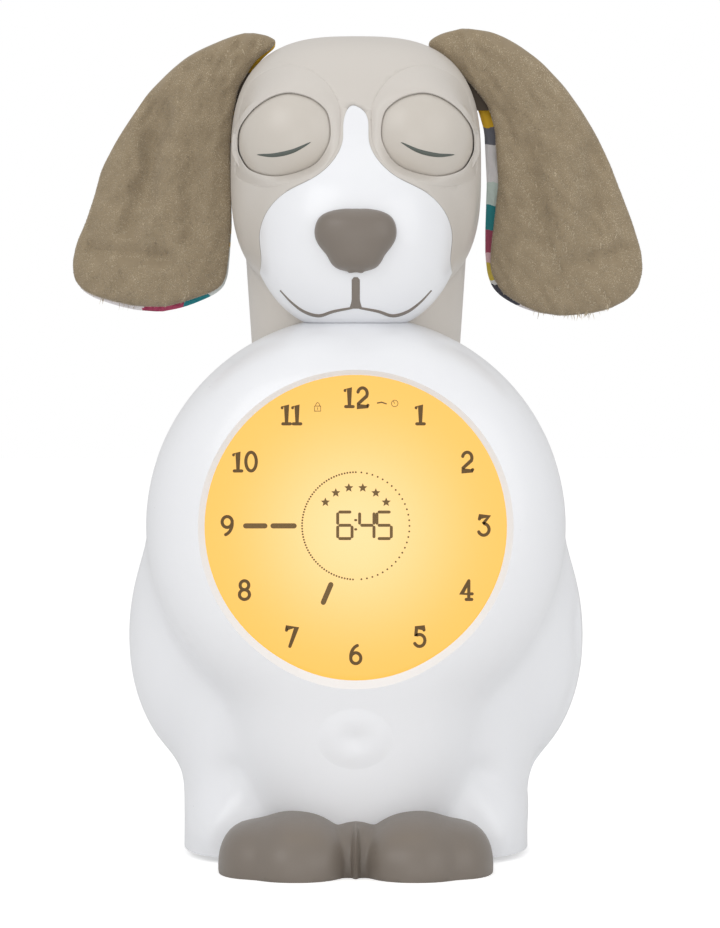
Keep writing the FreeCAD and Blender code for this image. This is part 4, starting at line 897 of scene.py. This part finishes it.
def eye_rims():
    """The head's front with rounder eye openings, and a rim round each eye."""
    shell = frame["nodes"]["head_front_shell"]
    face_piece = bpy.data.objects.new("head_face", shell.data.copy())
    bpy.context.scene.collection.objects.link(face_piece)
    rays = rim_rows()
    tools = []
    for side, name in ((1, "right"), (-1, "left")):
        eye_rim(name, side, rays)
        tools.append(eye_tool(name, side, rays))
    for tool in tools:
        cutting = face_piece.modifiers.new(tool.name, "BOOLEAN")
        cutting.operation = "DIFFERENCE"
        cutting.solver = "EXACT"
        cutting.object = tool
    bpy.context.view_layer.update()
    ready = face_piece.evaluated_get(bpy.context.evaluated_depsgraph_get())
    mesh = bpy.data.meshes.new_from_object(ready)
    face_piece.modifiers.clear()
    face_piece.data = mesh
    mesh.shade_smooth()
    mesh.set_sharp_from_angle(angle=math.radians(35))
    for tool in tools:
        bpy.data.objects.remove(tool)
    mesh.materials.clear()
    mesh.materials.append(LOOKS["beige"])
    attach(face_piece, "root")
    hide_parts("head_front_shell")


def paws():
    """Both front paws as one soft moulding with low toes, standing flat."""
    middle = np.array([0.0, -44.0, 5.0])
    ground, same_place, crease = 0.02, 1e-6, 50
    around, rings = ((220, 80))
    turn, climb = np.meshgrid(np.linspace(0, 2 * np.pi, around, endpoint=False),
                              np.linspace(-np.pi / 2, np.pi / 2, rings + 1), indexing="ij")
    ways = np.stack([np.cos(climb) * np.cos(turn), np.cos(climb) * np.sin(turn), np.sin(climb)], axis=-1)
    near, far = np.zeros(turn.shape), np.full(turn.shape, FARTHEST)
    for _ in range(HALVINGS):
        reach = (near + far) / 2
        at = middle + ways * reach[..., None]
        inside = blend_sum(PAW_LOBES, at[..., 0], at[..., 1], at[..., 2]) > 1
        near, far = np.where(inside, reach, near), np.where(inside, far, reach)
    places = middle + ways * near[..., None]
    places[..., 2] = np.maximum(places[..., 2], ground)
    points = [tuple(map(float, p)) for p in places.reshape(-1, 3)]
    piece = mesh_piece("paws", points, net(around, rings + 1, turned=True), LOOKS["taupe"])
    bm = bmesh.new()
    bm.from_mesh(piece.data)
    bmesh.ops.remove_doubles(bm, verts=bm.verts, dist=same_place)
    bm.to_mesh(piece.data)
    bm.free()
    piece.data.shade_smooth()
    piece.data.set_sharp_from_angle(angle=math.radians(crease))
    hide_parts("front_paws")


def belly_dent():
    """A shallow dish laid on the belly: a floor close to the body, inside a low rim that melts into it."""
    nodes = ["body_front_shell"]
    cx, cz, half_width, half_height = -0.2, 34.8, 10.5, 8.5
    around, rows = 72, 18
    floor_lift, middle_lift, rim_height, tuck = 0.05, 0.04, 0.4375, 0.03
    points = []
    for step in range(around):
        turn = 2 * math.pi * step / around
        for row in range(1, rows + 1):
            share = row / rows
            x, z = cx + half_width * share * math.cos(turn), cz + half_height * share * math.sin(turn)
            rim = 16 * rim_height * share ** 2 * (1 - share) ** 2
            lift = floor_lift * (1 - share) + rim - tuck * share ** 8
            points.append((x, front_point(nodes, x, z)[0].y - lift, z))
    points.append((cx, front_point(nodes, cx, cz)[0].y - middle_lift, cz))
    faces = net(around, rows) + [[around * rows, k * rows, (k + 1) % around * rows] for k in range(around)]
    mesh_piece("belly_dent", points, faces, LOOKS["white"])


dial_numbers(DIAL_CENTRE, DIAL_FACE)
dial_display(DIAL_CENTRE, DIAL_FACE)
mouth()
eye_rims()
lashes()
ears()
paws()
belly_dent()

# Stage, lights and camera

FLOOR_SIZE, FLOOR_GREY, FLOOR_LIFT = 4.0, 0.86, 0.5
ROOM_LIGHT, SEEN_WHITE = 0.66, 1.0


def area_light(name, place, aim, size, power):
    lamp = bpy.data.lights.new(name, "AREA")
    lamp.shape = "SQUARE"
    lamp.size = size
    lamp.energy = power
    holder = bpy.data.objects.new(name, lamp)
    holder.location = place
    holder.rotation_euler = (Vector(aim) - Vector(place)).to_track_quat("-Z", "Y").to_euler()
    bpy.context.scene.collection.objects.link(holder)


def floor():
    """A pale floor that the camera alone sees a little lighter than it is."""
    bm = bmesh.new()
    bmesh.ops.create_grid(bm, x_segments=1, y_segments=1, size=FLOOR_SIZE)
    mesh = bpy.data.meshes.new("floor")
    bm.to_mesh(mesh)
    bm.free()
    piece = bpy.data.objects.new("floor", mesh)
    bpy.context.scene.collection.objects.link(piece)
    made, nodes, links, shader = blank("pale_floor")
    shader.inputs["Base Color"].default_value = (FLOOR_GREY, FLOOR_GREY, FLOOR_GREY, 1)
    shader.inputs["Roughness"].default_value = 0.6
    shader.inputs["Emission Color"].default_value = (1, 1, 1, 1)
    seen = nodes.new("ShaderNodeLightPath")
    lift = math_node(nodes, "MULTIPLY", FLOOR_LIFT)
    links.new(seen.outputs["Is Camera Ray"], lift.inputs[0])
    links.new(lift.outputs["Value"], shader.inputs["Emission Strength"])
    piece.data.materials.append(made)


def world():
    """Even light from all round, on a backdrop that the camera sees white."""
    scene = bpy.context.scene
    scene.world = scene.world or bpy.data.worlds.new("studio")
    scene.world.use_nodes = True
    nodes, links = scene.world.node_tree.nodes, scene.world.node_tree.links
    nodes.clear()
    out = nodes.new("ShaderNodeOutputWorld")
    path = nodes.new("ShaderNodeLightPath")
    mix = nodes.new("ShaderNodeMixShader")
    links.new(path.outputs["Is Camera Ray"], mix.inputs["Fac"])
    for number, strength in ((1, ROOM_LIGHT), (2, SEEN_WHITE)):
        shade = nodes.new("ShaderNodeBackground")
        shade.inputs["Color"].default_value = (1, 1, 1, 1)
        shade.inputs["Strength"].default_value = strength
        links.new(shade.outputs["Background"], mix.inputs[number])
    links.new(mix.outputs["Shader"], out.inputs["Surface"])


def camera():
    """The photograph's view: level with the chin from about a metre away, tipped down a little."""
    distance, height, side = 1.0, 0.133, 0.0011
    tip = math.radians(1.605)
    focal_pixels, picture_width = 3676, 720
    lens = bpy.data.cameras.new("camera")
    lens.sensor_fit = "HORIZONTAL"
    lens.sensor_width = 36.0
    lens.lens = focal_pixels / picture_width * lens.sensor_width
    lens.clip_start = 0.05
    holder = bpy.data.objects.new("camera", lens)
    holder.location = (side, -distance, height)
    holder.rotation_euler = (math.radians(90) - tip, 0, 0)
    bpy.context.scene.collection.objects.link(holder)
    bpy.context.scene.camera = holder


floor()
world()
area_light("key", (-0.7, -0.9, 0.9), (0, 0, 0.11), 0.8, 3.9)
area_light("fill", (0.9, -0.8, 0.5), (0, 0, 0.11), 0.9, 2.3)
area_light("top", (0, 0.1, 1.2), (0, 0, 0.1), 0.9, 1.2)
area_light("low", (0, -0.9, 0.04), (0, 0, 0.12), 0.5, 0.9)
camera()
bpy.context.scene.view_settings.view_transform = "Standard"
